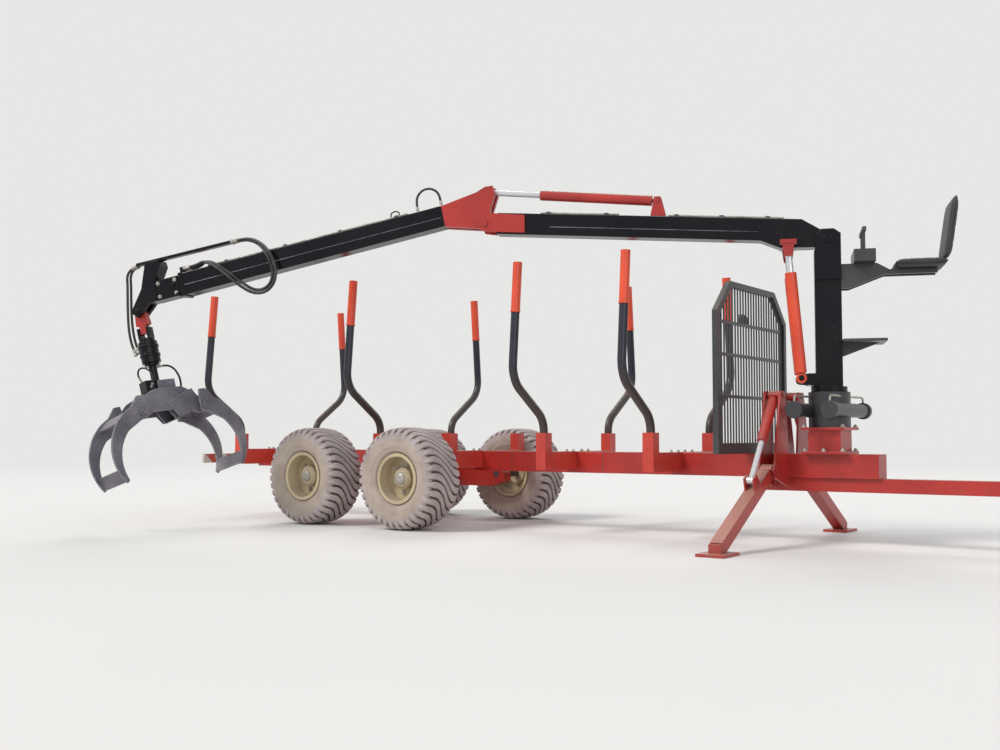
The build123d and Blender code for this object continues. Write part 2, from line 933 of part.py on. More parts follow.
def outer_rod():
    length = hypot(outer_eye[0] - outer_base[0], outer_eye[1] - outer_base[1])
    rod = strut(outer_base, outer_eye, outer_rod_radius, 0, 560, length - 20)
    rod += cross_pin(outer_eye[0], outer_eye[1], 28, eye_width)
    return rod - cross_pin(outer_eye[0], outer_eye[1], 14, 100)


keep("lift_cylinders", lift_barrels(), crane)
keep("lift_rods", lift_rods(), crane)
keep("outer_cylinder", outer_barrel(), crane)
keep("outer_rod", outer_rod(), crane)


# Outer boom, drawn in its own frame
def outer_boom():
    mid = outer_axis_lift
    butt, tip = outer_butt_height / 2, outer_tip_height / 2
    side = [(outer_start, mid - butt), (outer_end, mid - tip), (outer_end, mid + tip), (outer_start, mid + butt)]
    beam = profile(side, outer_width)
    rim = collar_rim
    beam += box(
        (outer_end - collar_length, outer_end),
        (-outer_width / 2 - rim, outer_width / 2 + rim),
        (mid - tip - rim, mid + tip + rim),
    )
    beam += box((outer_end - 45, outer_end - 5), (-35, 35), (mid + tip, mid + tip + 62))
    hollow = extension_height / 2 + slide_gap
    inner = box(
        (extension_tail - 60, outer_end + 1),
        (-extension_width / 2 - slide_gap, extension_width / 2 + slide_gap),
        (mid - hollow, mid + hollow),
    )
    return beam - inner


def outer_butt():
    """Red plates from the knuckle pin to the outer boom, with the horn for its cylinder."""
    mid = outer_axis_lift
    eye = (outer_eye[0] - knuckle_s, outer_eye[1] - knuckle_z)
    slope = radians(outer_slope)
    ex = eye[0] * cos(slope) - eye[1] * sin(slope)
    ez = eye[0] * sin(slope) + eye[1] * cos(slope)
    side = [
        (-50, -25),
        (0, -58),
        (50, -30),
        (outer_start + 30, mid - outer_butt_height / 2 + 4),
        (outer_start + 30, mid + outer_butt_height / 2 - 4),
        (ex + 110, ez + 20),
        (ex + 30, ez + 46),
        (ex - 30, ez + 40),
        (ex - 38, ez - 30),
        (-66, 100),
    ]
    gap = eye_width / 2 + side_gap
    width = boom_width / 2 - 1 - gap
    plates = [profile(side, width, m) for m in (-gap - width / 2, gap + width / 2)]
    shape = plates[0] + plates[1]
    bridge = box((170, outer_start), (-gap - 10, gap + 10), (mid - 60, mid + 60))
    shape += bridge
    shape -= cross_pin(0, 0, 28 + running_gap, 400)
    return shape - box((outer_start, outer_start + 400), (-300, 300), (-300, 500))


def extension_boom():
    """The sliding boom, with the bolted sleeve that carries the head."""
    mid, half = outer_axis_lift, extension_height / 2
    width = extension_width / 2
    beam = box((extension_tail, extension_head), (-width, width), (mid - half, mid + half))
    beam += box((sleeve_start, sleeve_end), (-width - 8, width + 8), (mid - half - 12, mid + half + 12))
    for x, z in ((2789, 161), (2757, 67)):
        beam += cross_pin(x, z, 16, outer_width + 12)
    return beam


def tray_line(x):
    """Height of the hose tray's underside."""
    return tray_low + (x - tray_start) / (tray_end - tray_start) * tray_rise


def boom_head():
    """The head on the sliding boom: fork for the link below, upright for the tray above."""
    mid, half = outer_axis_lift, extension_height / 2
    px, pz = tip_pin_x, tip_pin_z
    side = [
        (sleeve_end, mid + half + 12),
        (2883, 352),
        (2890, tray_line(2890)),
        (3020, tray_line(3020)),
        (3095, mid + 47),
        (px + 34, pz + 40),
        (px + 42, pz - 10),
        (px, pz - 46),
        (px - 42, pz - 20),
        (3040, mid - half - 8),
        (sleeve_end, mid - half - 12),
    ]
    head = profile(side, extension_width + 24)
    head -= extension_boom()
    fork = link_width / 2 + side_gap
    head -= box((extension_head + 45, px + 200), (-fork, fork), (pz - 200, pz + 62))
    return head + cross_pin(px, pz, 22, extension_width + 50)


def hose_tray():
    ends = (tray_start, tray_end)
    low = [(x, tray_line(x)) for x in ends]
    high = [(x, tray_line(x) + tray_height) for x in reversed(ends)]
    return profile(low + high, tray_width)


keep("outer_boom", outer_boom(), outer)
keep("outer_boom_butt", outer_butt(), outer)
keep("extension_boom", extension_boom(), outer)
keep("boom_head", boom_head(), outer)
keep("hose_tray", hose_tray(), outer)
keep("hose_tip_front", hose(tip_hose_front, tip_hose_radius), outer)
keep("hose_tip_rear", hose(tip_hose_rear, tip_hose_radius), outer)
keep("hose_knuckle", hose(knuckle_hose, knuckle_hose_radius), outer)


# Link, rotator and grapple, drawn from the tip pin and the swivel pin downwards
def tip_link():
    side = [
        (-48, -8),
        (-22, 34),
        (22, 34),
        (48, -8),
        (60, -112),
        (28, -122),
        (28, -link_length - 26),
        (-28, -link_length - 26),
        (-28, -122),
        (-60, -112),
    ]
    link = profile(side, link_width) - cross_pin(0, 0, 22 + running_gap, 200)
    bore = Pos(0, 0, -link_length) * Rot(0, 90, 0) * Cylinder(swivel_radius + running_gap, 300)
    return link - bore


def rotator():
    shape = Rot(0, 90, 0) * Cylinder(swivel_radius, 2 * ear_half + 28)
    for middle in (-ear_half, ear_half):
        shape += box((middle - 12, middle + 12), (-38, 38), (rotator_top + 29, 28))
    shape += upright(0, 0, rotator_radius - 14, (rotator_top, rotator_top + 30))
    shape += upright(0, 0, rotator_radius, (rotator_bottom, rotator_top))
    for z in (rotator_top - 30, rotator_top - 110):
        shape += upright(0, 0, rotator_radius + 7, (z - 22, z))
    return shape


keep("tip_link", tip_link(), hang)
keep("rotator", rotator(), swivel)


def grapple_neck():
    """Turning flange and shaft under the rotator, with the hose manifold beside them."""
    neck = upright(0, 0, rotator_radius - 18, (flange_bottom, rotator_bottom - running_gap))
    neck += upright(0, 0, shaft_radius, (bracket_top, flange_bottom + 1))
    return neck + box((-125, -22), (-60, 60), (plate_top, bracket_top + 8))


def cover_hull(inset=0, left=0):
    (x0, z0), (x1, z1), (x2, z2), (x3, z3) = cover_corners
    points = [
        (x0 + inset * 0.5 - left, z0 - inset * 1.1 - 0.4 * left),
        (x1 - inset * 0.5, z1 - inset * 1.2),
        (x2 - inset * 1.3, z2 + inset * 0.6),
        (x3 + inset * 0.7 - left, z3 + inset * 1.2 - 0.3 * left),
    ]
    return profile(points, 2 * (cover_half_width - inset))


def grapple_cover():
    """Cover over the claws' cylinder, open at its lower end."""
    return cover_hull() - cover_hull(cover_wall, 60)


def grapple_frame():
    px, pz = claw_pivot
    outline = [
        (-110, plate_top),
        (140, plate_top),
        (235, plate_top - 55),
        (px + 30, pz + 58),
        (px + 44, pz),
        (px + 10, pz - 46),
        (px - 50, pz - 42),
        (150, pz + 10),
        (-150, pz + 10),
        (-px + 50, pz - 42),
        (-px - 10, pz - 46),
        (-px - 44, pz),
        (-px - 30, pz + 58),
        (-235, plate_top - 55),
    ]
    half = plate_half_width
    frame = box((-110, 140), (-half, half), (plate_top - 15, plate_top))
    frame += box((-21.7, 137), (-75, 75), (plate_top - 1, bracket_top))
    frame += box((20, 110), (-60, 60), (plate_top - 120, plate_top - 10)) - cover_hull()
    for side in (-1, 1):
        frame += profile(outline, plate_thickness, side * half)
        for x in (-px, px):
            start, end = half - 30, claw_spread + claw_thickness / 2 + 10
            frame += cross_pin(x, pz, claw_pin_radius, end - start, side * (start + end) / 2)
    return frame


def claw():
    """The right-hand claw: two hooked tines joined by plates, opening along +x."""
    px, pz = claw_pivot
    tx, tz = claw_tip
    cx, cz = claw_arc_centre

    def on_arc(angle):
        a = radians(angle)
        return (cx + claw_arc_radius * cos(a), cz + claw_arc_radius * sin(a))

    outline = ThreePointArc(on_arc(63), on_arc(34), on_arc(5))
    outline += ThreePointArc(on_arc(5), (600, -1175), (tx, tz))
    outline += Line((tx, tz), (tx - 21, tz + 20))
    outline += ThreePointArc((tx - 21, tz + 20), (540, -1085), (438, -881))
    outline += Line((438, -881), (px + 9, pz - 52))
    outline += Line((px + 9, pz - 52), (px - 40, pz - 42))
    outline += Line((px - 40, pz - 42), (px - 46, pz + 48))
    outline += Line((px - 46, pz + 48), (px - 29, pz + 151))
    outline += Line((px - 29, pz + 151), (px + 27, pz + 148))
    outline += Line((px + 27, pz + 148), on_arc(63))
    tine = make_face(outline)
    tine = Rot(90, 0, 0) * Pos(0, 0, -claw_thickness / 2) * extrude(tine, claw_thickness)
    tine -= cross_pin(px, pz, claw_pin_radius + running_gap, 100)
    shape = Pos(0, -claw_spread, 0) * tine + Pos(0, claw_spread, 0) * tine
    blade = [(tx - 20, tz + 22), (tx - 5, tz + 12), (tx + 37, tz + 120), (tx + 21, tz + 126)]
    brace = [(395, -724), (406, -713), (492, -792), (481, -803)]
    return shape + [profile(blade, 2 * claw_spread), profile(brace, 2 * claw_spread)]


keep("grapple_neck", grapple_neck(), grapple)
keep("hose_manifold", hose(manifold_hose, manifold_hose_radius), hang)
keep("grapple_cover", grapple_cover(), grapple)
keep("grapple_frame", grapple_frame(), grapple)
claw_shape = claw()
keep("claw_inner", claw_shape, grapple)
keep("claw_outer", mirror(claw_shape, about=Plane.YZ), grapple)

for name, shape in nodes.items():
    export_step(shape, f"parts/{name}.step")
print(len(nodes), "nodes")
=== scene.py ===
from math import cos, pi, radians, sin

import bmesh
import bpy
from mathutils import Matrix, Vector


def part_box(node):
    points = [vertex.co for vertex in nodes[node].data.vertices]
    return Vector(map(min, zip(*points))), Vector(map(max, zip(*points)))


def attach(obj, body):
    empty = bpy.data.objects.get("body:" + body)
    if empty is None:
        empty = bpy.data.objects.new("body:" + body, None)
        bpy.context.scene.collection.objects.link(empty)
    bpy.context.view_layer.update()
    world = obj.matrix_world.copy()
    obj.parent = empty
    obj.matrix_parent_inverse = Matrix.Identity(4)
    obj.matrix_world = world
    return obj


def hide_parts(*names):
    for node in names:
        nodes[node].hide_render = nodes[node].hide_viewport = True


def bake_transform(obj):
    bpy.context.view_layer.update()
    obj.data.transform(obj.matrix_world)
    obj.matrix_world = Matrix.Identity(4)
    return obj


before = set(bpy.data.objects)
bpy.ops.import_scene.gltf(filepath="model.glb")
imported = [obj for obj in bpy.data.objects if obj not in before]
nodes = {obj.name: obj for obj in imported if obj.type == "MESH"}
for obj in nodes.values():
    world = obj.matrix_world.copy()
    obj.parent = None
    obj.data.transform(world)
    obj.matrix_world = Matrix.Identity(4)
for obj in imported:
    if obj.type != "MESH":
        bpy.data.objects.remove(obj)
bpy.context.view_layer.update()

scene = bpy.context.scene
scene.view_settings.view_transform = "Standard"

# The crane's own frames: x along each boom, y to the viewer's side, z square to it.
# Each place is in metres on the frame that carries it, and each turn in degrees
crane = {
    "ground": (-5.65, 0, -0.44),
    "foot": (3.95, 0, 0), "slew": 202,
    "mainPin": (0, 0, 2.25), "mainTilt": -4,
    "outerPin": (2.62, 0, 2.4938), "outerTilt": 11.5,
    "hangPin": (3.17, 0, 0.004), "hangTilt": 2.7,
    "swivelPin": (0, 0, -0.165), "grappleTurn": -122,
}


def standing(carrier, place, turn, axis="Y"):
    return carrier @ Matrix.Translation(place) @ Matrix.Rotation(radians(turn), 4, axis)


toGround = Matrix.Translation(crane["ground"])
footFrame = toGround @ Matrix.Translation(crane["foot"])
craneFrame = standing(toGround, crane["foot"], crane["slew"], "Z")
mainFrame = standing(craneFrame, crane["mainPin"], crane["mainTilt"])
outerFrame = standing(craneFrame, crane["outerPin"], crane["outerTilt"])
hangFrame = standing(outerFrame, crane["hangPin"], crane["hangTilt"])
grappleFrame = standing(hangFrame, crane["swivelPin"], crane["grappleTurn"], "Z")


# Camera: place and farthest sight in metres, turns in degrees, lens and sensor in millimetres

view = {"place": (1.1253, -8.0074, 0.3501), "turn": 36.10, "lookUp": 3.22, "lens": 39.634, "sensor": 36,
        "farthest": 200}


def placeCamera():
    data = bpy.data.cameras.new("camera")
    data.lens = view["lens"]
    data.sensor_width = view["sensor"]
    data.clip_end = view["farthest"]
    camera = bpy.data.objects.new("camera", data)
    camera.location = view["place"]
    camera.rotation_euler = (radians(90 + view["lookUp"]), 0, radians(view["turn"]))
    scene.collection.objects.link(camera)
    scene.camera = camera


# Materials: Wire lets sockets take part in plain sums, and Paint builds one material and enters it here

coats = {}


class Wire:
    def __init__(self, paint, socket):
        self.paint = paint
        self.socket = socket

    def join(self, operation, first, second):
        return self.paint.node("Math", {"operation": operation}, {0: first, 1: second})[0]

    def __add__(self, other):
        return self.join("ADD", self, other)

    def __radd__(self, other):
        return self.join("ADD", other, self)

    def __sub__(self, other):
        return self.join("SUBTRACT", self, other)

    def __rsub__(self, other):
        return self.join("SUBTRACT", other, self)

    def __mul__(self, other):
        return self.join("MULTIPLY", self, other)

    def __rmul__(self, other):
        return self.join("MULTIPLY", other, self)


class Paint:
    def __init__(self, name, **fixed):
        self.material = bpy.data.materials.new(name)
        coats[name] = self.material
        self.material.use_nodes = True
        self.tree = self.material.node_tree
        self.surface = self.tree.nodes["Principled BSDF"]
        self.feed(self.surface, {key.replace("_", " "): value for key, value in fixed.items()})
        self.place = self.node("TexCoord")[3]
        self.spot = self.node("SeparateXYZ", {}, {0: self.place})
        self.normal = self.node("NewGeometry")[1]
        self.facing = self.node("SeparateXYZ", {}, {0: self.normal})

    def feed(self, made, values):
        for key, value in values.items():
            socket = made.inputs[key]
            if isinstance(value, Wire):
                self.tree.links.new(value.socket, socket)
            elif socket.type == "RGBA":
                socket.default_value = (*value, 1)
            else:
                socket.default_value = value

    def node(self, kind, settings={}, values={}):
        made = self.tree.nodes.new("ShaderNode" + kind)
        for key, value in settings.items():
            setattr(made, key, value)
        self.feed(made, values)
        return [Wire(self, socket) for socket in made.outputs]

    def noise(self, size, detail=3, rough=0.55, place=None):
        return self.node("TexNoise", {}, {
            "Vector": place or self.place, "Scale": 1 / size, "Detail": detail, "Roughness": rough})[0]

    def stretched(self, factors):
        return self.node("VectorMath", {"operation": "MULTIPLY"}, {0: self.place, 1: factors})[0]

    def between(self, value, low, high):
        return self.node("MapRange", {"interpolation_type": "SMOOTHSTEP"}, {
            0: value, "From Min": low, "From Max": high})[0]

    def mix(self, share, first, second):
        return self.node("Mix", {"data_type": "RGBA"}, {0: share, 6: first, 7: second})[2]

    def attribute(self, name):
        return self.node("Attribute", {"attribute_name": name})[2]

    def edges(self, radius):
        # how far the surface is from flat within a radius, 1 along a sharp edge
        turned = self.node("Bevel", {"samples": 4}, {"Radius": radius})[0]
        return 1 - self.node("VectorMath", {"operation": "DOT_PRODUCT"}, {0: turned, 1: self.normal})[1]

    def finish(self, colour, roughness, height=None, depth=0.001, metallic=None, rounding=None):
        values = {"Base Color": colour, "Roughness": roughness}
        if metallic is not None:
            values["Metallic"] = metallic
        if height is not None:
            relief = {"Strength": 0.6, "Distance": depth, "Height": height}
            if rounding:
                relief["Normal"] = self.node("Bevel", {"samples": 4}, {"Radius": rounding})[0]
            values["Normal"] = self.node("Bump", {}, relief)[0]
        self.feed(self.surface, values)


# how large the marks of each finish are, in metres, and how many grains the vinyl has in a metre
marks = {
    "enamel": {"patch": 0.45, "grain": 0.035, "chip": 0.012, "edge": 0.005, "streak": (14, 14, 1.6)},
    "steel": {"patch": 0.3, "grain": 0.02, "edge": 0.007},
    "tyre": {"patch": 0.16, "grain": 0.016},
    "hose": {"patch": 0.12, "grain": 0.006},
    "vinyl": {"patch": 0.11, "grains": 420.0},
    "board": {"patch": 0.2, "grain": 0.02, "pair": 0.13, "band": 0.063, "blur": 0.003},
    "lens": {"rib": 0.004, "grain": 0.03},
}


def enamel(name, coat, shade, bare=(0.1, 0.085, 0.075), dirt=(0.36, 0.29, 0.22), gloss=0.32, dust=0.5,
           chips=0.5, low=None, mirror=0.5, corner=0.004, clear=0.15):
    # paint that has gone uneven, is chipped in places, worn along its edges and dusty on what faces up.
    # low gives a second coat for what is rubbed below a height: (colour, top, bottom)
    size = marks["enamel"]
    paint = Paint(name, Coat_Weight=clear, Coat_Roughness=0.2, Specular_IOR_Level=mirror)
    broad, fine = paint.noise(size["patch"], 4), paint.noise(size["grain"], 5, 0.65)
    tone = paint.mix(paint.between(broad + 0.35 * fine, 0.45, 0.9), coat, shade)
    streak = paint.noise(1, 4, 0.6, paint.stretched(size["streak"]))
    height, facingUp = paint.spot[2], paint.facing[2]
    if low:
        rubbedCoat, top, bottom = low
        rubbed = paint.between(height + 0.16 * streak + 0.12 * fine, top + 0.14, bottom + 0.14)
        tone = paint.mix(rubbed, tone, rubbedCoat)
    lying = paint.between(facingUp, 0.2, 0.95) * 0.8 + paint.between(height, 0.5, -0.42) * 0.35
    dusty = paint.between(lying + 0.55 * fine + 0.3 * streak, 0.62, 1.25) * dust
    flaked = paint.noise(size["chip"], 3, 0.7) + 0.5 * broad
    chipped = paint.between(flaked, 1.02 - 0.1 * chips, 1.05 - 0.1 * chips)
    rim = paint.between(paint.edges(size["edge"]), 0.03, 0.2) * paint.between(fine + 0.5 * broad, 0.62, 0.95)
    chipped = chipped * chips + 0.55 * chips * rim
    colour = paint.mix(dusty, paint.mix(chipped, tone, bare), dirt)
    rough = gloss + 0.12 * fine + 0.45 * dusty + 0.2 * chipped
    paint.finish(colour, rough, fine * 0.5 - chipped * 0.8 + 0.3 * dusty, 0.0008, rounding=corner)


def workedSteel(name, bright, dark, gloss=0.42, metallic=0.55, scratch=(2, 60, 60), rubbed=0.0):
    # bare or thinly coated steel with fine scratches; rubbed is how far its edges are polished
    size = marks["steel"]
    paint = Paint(name)
    broad, fine = paint.noise(size["patch"], 4), paint.noise(size["grain"], 5, 0.65)
    lines = paint.noise(1, 3, 0.6, paint.stretched(scratch))
    worn = paint.between(broad + 0.45 * lines + 0.3 * fine, 0.62, 1.25)
    colour = paint.mix(worn, dark, bright)
    if rubbed:
        edge = paint.between(paint.edges(size["edge"]), 0.02, 0.16)
        edge = edge * paint.between(fine + 0.6 * broad, 0.5, 0.85) * rubbed
        colour = paint.mix(edge, colour, (0.62, 0.6, 0.6))
    rough = gloss + 0.25 * fine - 0.12 * worn
    paint.finish(colour, rough, lines * 0.5 + fine * 0.4, 0.0006, metallic * worn, 0.004)


def dustyRubber(name):
    # lug tops and shoulders are dry and pale, the grooves between them hold darker soil
    size = marks["tyre"]
    paint = Paint(name)
    lug = paint.attribute("lug")
    broad, fine = paint.noise(size["patch"], 4), paint.noise(size["grain"], 5, 0.7)
    mottle = paint.between(broad + 0.4 * fine, 0.4, 0.95)
    top = paint.mix(mottle, (0.33, 0.275, 0.265), (0.48, 0.415, 0.4))
    wall = paint.mix(mottle, (0.34, 0.275, 0.225), (0.46, 0.385, 0.325))
    wall = paint.mix(paint.between(lug, 1.05, 1.35), top, wall)
    groove = paint.mix(fine, (0.07, 0.052, 0.045), (0.2, 0.15, 0.125))
    colour = paint.mix(paint.between(lug + 0.25 * fine, 0.3, 0.75), groove, wall)
    paint.finish(colour, 0.82 + 0.15 * fine, fine + 0.6 * broad, 0.002)


def hoseRubber(name):
    size = marks["hose"]
    paint = Paint(name)
    fine = paint.noise(size["grain"], 3)
    broad = paint.noise(size["patch"], 3)
    colour = paint.mix(paint.between(broad, 0.4, 0.75), (0.012, 0.012, 0.014), (0.05, 0.047, 0.045))
    paint.finish(colour, 0.34 + 0.2 * broad, fine, 0.0004)


def seatVinyl(name):
    size = marks["vinyl"]
    paint = Paint(name)
    grain = paint.node("TexVoronoi", {}, {"Vector": paint.place, "Scale": size["grains"]})[0]
    broad = paint.noise(size["patch"], 4)
    colour = paint.mix(paint.between(broad, 0.35, 0.8), (0.016, 0.016, 0.017), (0.05, 0.047, 0.043))
    paint.finish(colour, 0.45 + 0.25 * broad, grain, 0.0005)


def bandedBoard(name):
    # slanting warning bands, faded and dusty
    size = marks["board"]
    paint = Paint(name)
    slant = paint.spot[1] + paint.spot[2]
    wave = paint.node("Math", {"operation": "PINGPONG"}, {0: slant, 1: size["pair"]})[0]
    band = paint.between(wave, size["band"], size["band"] + size["blur"])
    fine, broad = paint.noise(size["grain"], 5, 0.65), paint.noise(size["patch"], 4)
    red = paint.mix(broad, (0.52, 0.055, 0.04), (0.36, 0.05, 0.04))
    white = paint.mix(broad, (0.72, 0.66, 0.63), (0.5, 0.44, 0.4))
    dusty = paint.between(fine + broad, 0.85, 1.4) * 0.6
    colour = paint.mix(dusty, paint.mix(band, red, white), (0.36, 0.29, 0.23))
    paint.finish(colour, 0.4 + 0.3 * fine, fine, 0.0006)


def lensPlastic(name, colour, deep):
    size = marks["lens"]
    paint = Paint(name, Coat_Weight=0.6, Coat_Roughness=0.08)
    ribs = paint.node("Math", {"operation": "PINGPONG"}, {0: paint.spot[1], 1: size["rib"]})[0]
    tone = paint.mix(paint.between(ribs, 0.0, size["rib"]), deep, colour)
    paint.finish(tone, 0.18 + 0.1 * paint.noise(size["grain"]), ribs * (1 / size["rib"]), 0.0012)


enamel("framePaint", (0.46, 0.026, 0.018), (0.33, 0.018, 0.014))
enamel("bunkPaint", (0.6, 0.05, 0.03), (0.44, 0.032, 0.02), dirt=(0.5, 0.38, 0.31), dust=0.7)
enamel("signalPaint", (0.75, 0.075, 0.022), (0.6, 0.05, 0.016), dust=0.3, chips=0.35)
enamel("stakePaint", (0.008, 0.01, 0.022), (0.016, 0.018, 0.03), bare=(0.13, 0.1, 0.085),
       dirt=(0.17, 0.13, 0.11), gloss=0.28, dust=0.45, chips=0.6, mirror=0.4,
       low=((0.05, 0.036, 0.034), 1.0, 0.62))
enamel("boomPaint", (0.003, 0.0033, 0.006), (0.007, 0.007, 0.01), bare=(0.2, 0.19, 0.18),
       dirt=(0.2, 0.18, 0.15), gloss=0.16, dust=0.15, chips=0.4, mirror=0.2, corner=0.012, clear=0.02)
enamel("guardPaint", (0.022, 0.023, 0.028), (0.045, 0.043, 0.045), dirt=(0.22, 0.19, 0.16), gloss=0.36,
       dust=0.45)
enamel("rimPaint", (0.56, 0.47, 0.3), (0.43, 0.35, 0.22), bare=(0.2, 0.1, 0.05), dirt=(0.42, 0.34, 0.26),
       gloss=0.42, dust=0.8, chips=0.6)
workedSteel("grappleSteel", (0.24, 0.225, 0.26), (0.085, 0.078, 0.1), rubbed=0.85)
workedSteel("tineSteel", (0.27, 0.255, 0.28), (0.1, 0.093, 0.115), gloss=0.46, rubbed=0.9)
workedSteel("darkSteel", (0.16, 0.15, 0.15), (0.03, 0.03, 0.033), gloss=0.38, metallic=0.4)
workedSteel("chrome", (0.78, 0.78, 0.8), (0.55, 0.55, 0.57), gloss=0.12, metallic=1.0)
# light grey steel for the beads and seams along the booms: a painted highlight, the bright line that light
# makes along a rounded edge, not wear
workedSteel("paintedEdgeHighlight", (0.34, 0.34, 0.37), (0.03, 0.03, 0.034), gloss=0.3, metallic=0.5, scratch=(9, 9, 9))
workedSteel("zincBolt", (0.62, 0.6, 0.55), (0.28, 0.25, 0.21), gloss=0.34, metallic=0.9)
dustyRubber("tyreRubber")
hoseRubber("hoseRubber")
seatVinyl("seatVinyl")
bandedBoard("bandedBoard")
lensPlastic("redLens", (0.55, 0.012, 0.01), (0.2, 0.004, 0.004))
lensPlastic("amberLens", (0.75, 0.2, 0.01), (0.35, 0.07, 0.004))
lensPlastic("clearLens", (0.7, 0.7, 0.68), (0.4, 0.4, 0.4))
enamel("lampBlack", (0.015, 0.015, 0.016), (0.03, 0.029, 0.028), gloss=0.45, dust=0.4, chips=0.1)
print("materials made:", len(coats))

# which CAD nodes each coat dresses
finishes = {
    "framePaint": ["main_beam", "drawbar", "towing_eye", "bogie_rockers", "bogie_axle", "leg_brackets",
                   "crane_foot", "support_leg_left", "support_leg_right", "leg_cylinder_left",
                   "leg_cylinder_right", "knuckle_bracket", "boom_brackets", "outer_boom_butt",
                   "outer_cylinder", "tip_link"],
    "bunkPaint": ["bunks"],
    "signalPaint": ["stake_tips", "lift_cylinders"],
    "stakePaint": ["stakes"],
    "boomPaint": ["main_boom", "outer_boom", "extension_boom", "boom_head", "hose_tray", "pillar",
                  "rotator", "grapple_neck"],
    "guardPaint": ["headboard_frame", "headboard_grille", "slew_housing", "seat_frame", "control_console"],
    "rimPaint": ["rim_front_left", "rim_front_right", "rim_rear_left", "rim_rear_right"],
    "grappleSteel": ["grapple_frame", "grapple_cover"],
    "tineSteel": ["claw_inner", "claw_outer"],
    "darkSteel": ["wheel_spindles"],
    "chrome": ["leg_rod_left", "leg_rod_right", "lift_rods", "outer_rod"],
    "bandedBoard": ["lamp_board"],
}


def dressNodes():
    for finish, names in finishes.items():
        for name in names:
            for slot in nodes[name].material_slots:
                slot.material = coats[finish]


# Mesh helpers

def keepPiece(name, mesh, body, finish=None, replaced=()):
    piece = bpy.data.objects.new(name, mesh)
    scene.collection.objects.link(piece)
    if finish:
        mesh.materials.clear()
        mesh.materials.append(coats[finish])
    if body:
        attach(piece, body)
    if replaced:
        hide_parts(*replaced)
    return piece


def meshOf(name, build):
    shape = bmesh.new()
    build(shape)
    bmesh.ops.remove_doubles(shape, verts=shape.verts, dist=1e-6)
    bmesh.ops.recalc_face_normals(shape, faces=shape.faces)
    mesh = bpy.data.meshes.new(name)
    shape.to_mesh(mesh)
    shape.free()
    return mesh


def joinedMesh(name, meshes):
    shape = bmesh.new()
    for mesh in meshes:
        shape.from_mesh(mesh)
    joined = bpy.data.meshes.new(name)
    shape.to_mesh(joined)
    shape.free()
    return joined


def roundProfile(shape, outline, steps, layer=None, values=()):
    # turns an outline of (radius, y) about the Y axis; the ends of the outline meet
    angles = [2 * pi * i / steps for i in range(steps)]
    rings = []
    for radius, y in outline:
        ring = [shape.verts.new((radius * sin(angle), y, radius * cos(angle))) for angle in angles]
        rings.append(ring)
    if layer is not None:
        for ring, value in zip(rings, values):
            for vert in ring:
                vert[layer] = value
    for first, second in zip(rings, rings[1:] + rings[:1]):
        for i in range(steps):
            j = (i + 1) % steps
            face = shape.faces.new((first[i], first[j], second[j], second[i]))
            face.smooth = True


# Geometry Nodes: a ring of copies about the Y axis, and bolts on marked points

def newTree(name, inputs):
    tree = bpy.data.node_groups.new(name, "GeometryNodeTree")
    tree.interface.new_socket("Geometry", in_out="INPUT", socket_type="NodeSocketGeometry")
    for label, kind, value in inputs:
        socket = tree.interface.new_socket(label, in_out="INPUT", socket_type="NodeSocket" + kind)
        if value is not None:
            socket.default_value = value
    tree.interface.new_socket("Geometry", in_out="OUTPUT", socket_type="NodeSocketGeometry")
    return tree


def treeNode(tree, kind, settings={}, values={}):
    made = tree.nodes.new(kind)
    for key, value in settings.items():
        setattr(made, key, value)
    for key, value in values.items():
        if isinstance(value, bpy.types.NodeSocket):
            tree.links.new(value, made.inputs[key])
        else:
            made.inputs[key].default_value = value
    return made


def endTree(tree, copies, entry):
    real = treeNode(tree, "GeometryNodeRealizeInstances", {}, {0: copies.outputs[0]})
    coated = treeNode(tree, "GeometryNodeSetMaterial", {}, {
        0: real.outputs[0], "Material": entry.outputs["Finish"]})
    treeNode(tree, "NodeGroupOutput", {}, {0: coated.outputs[0]})


def makeRingTree():
    tree = newTree("ringOfCopies", [
        ("Copies", "Int", 36), ("Step", "Float", 0.1745), ("Finish", "Material", None)])
    entry = treeNode(tree, "NodeGroupInput")
    line = treeNode(tree, "GeometryNodeMeshLine", {}, {
        "Count": entry.outputs["Copies"], "Offset": (0, 0, 0)})
    index = treeNode(tree, "GeometryNodeInputIndex")
    angle = treeNode(tree, "ShaderNodeMath", {"operation": "MULTIPLY"}, {
        0: index.outputs[0], 1: entry.outputs["Step"]})
    turn = treeNode(tree, "FunctionNodeAxisAngleToRotation", {}, {
        "Axis": (0, 1, 0), "Angle": angle.outputs[0]})
    copies = treeNode(tree, "GeometryNodeInstanceOnPoints", {}, {
        "Points": line.outputs[0], "Instance": entry.outputs["Geometry"], "Rotation": turn.outputs[0]})
    endTree(tree, copies, entry)
    return tree


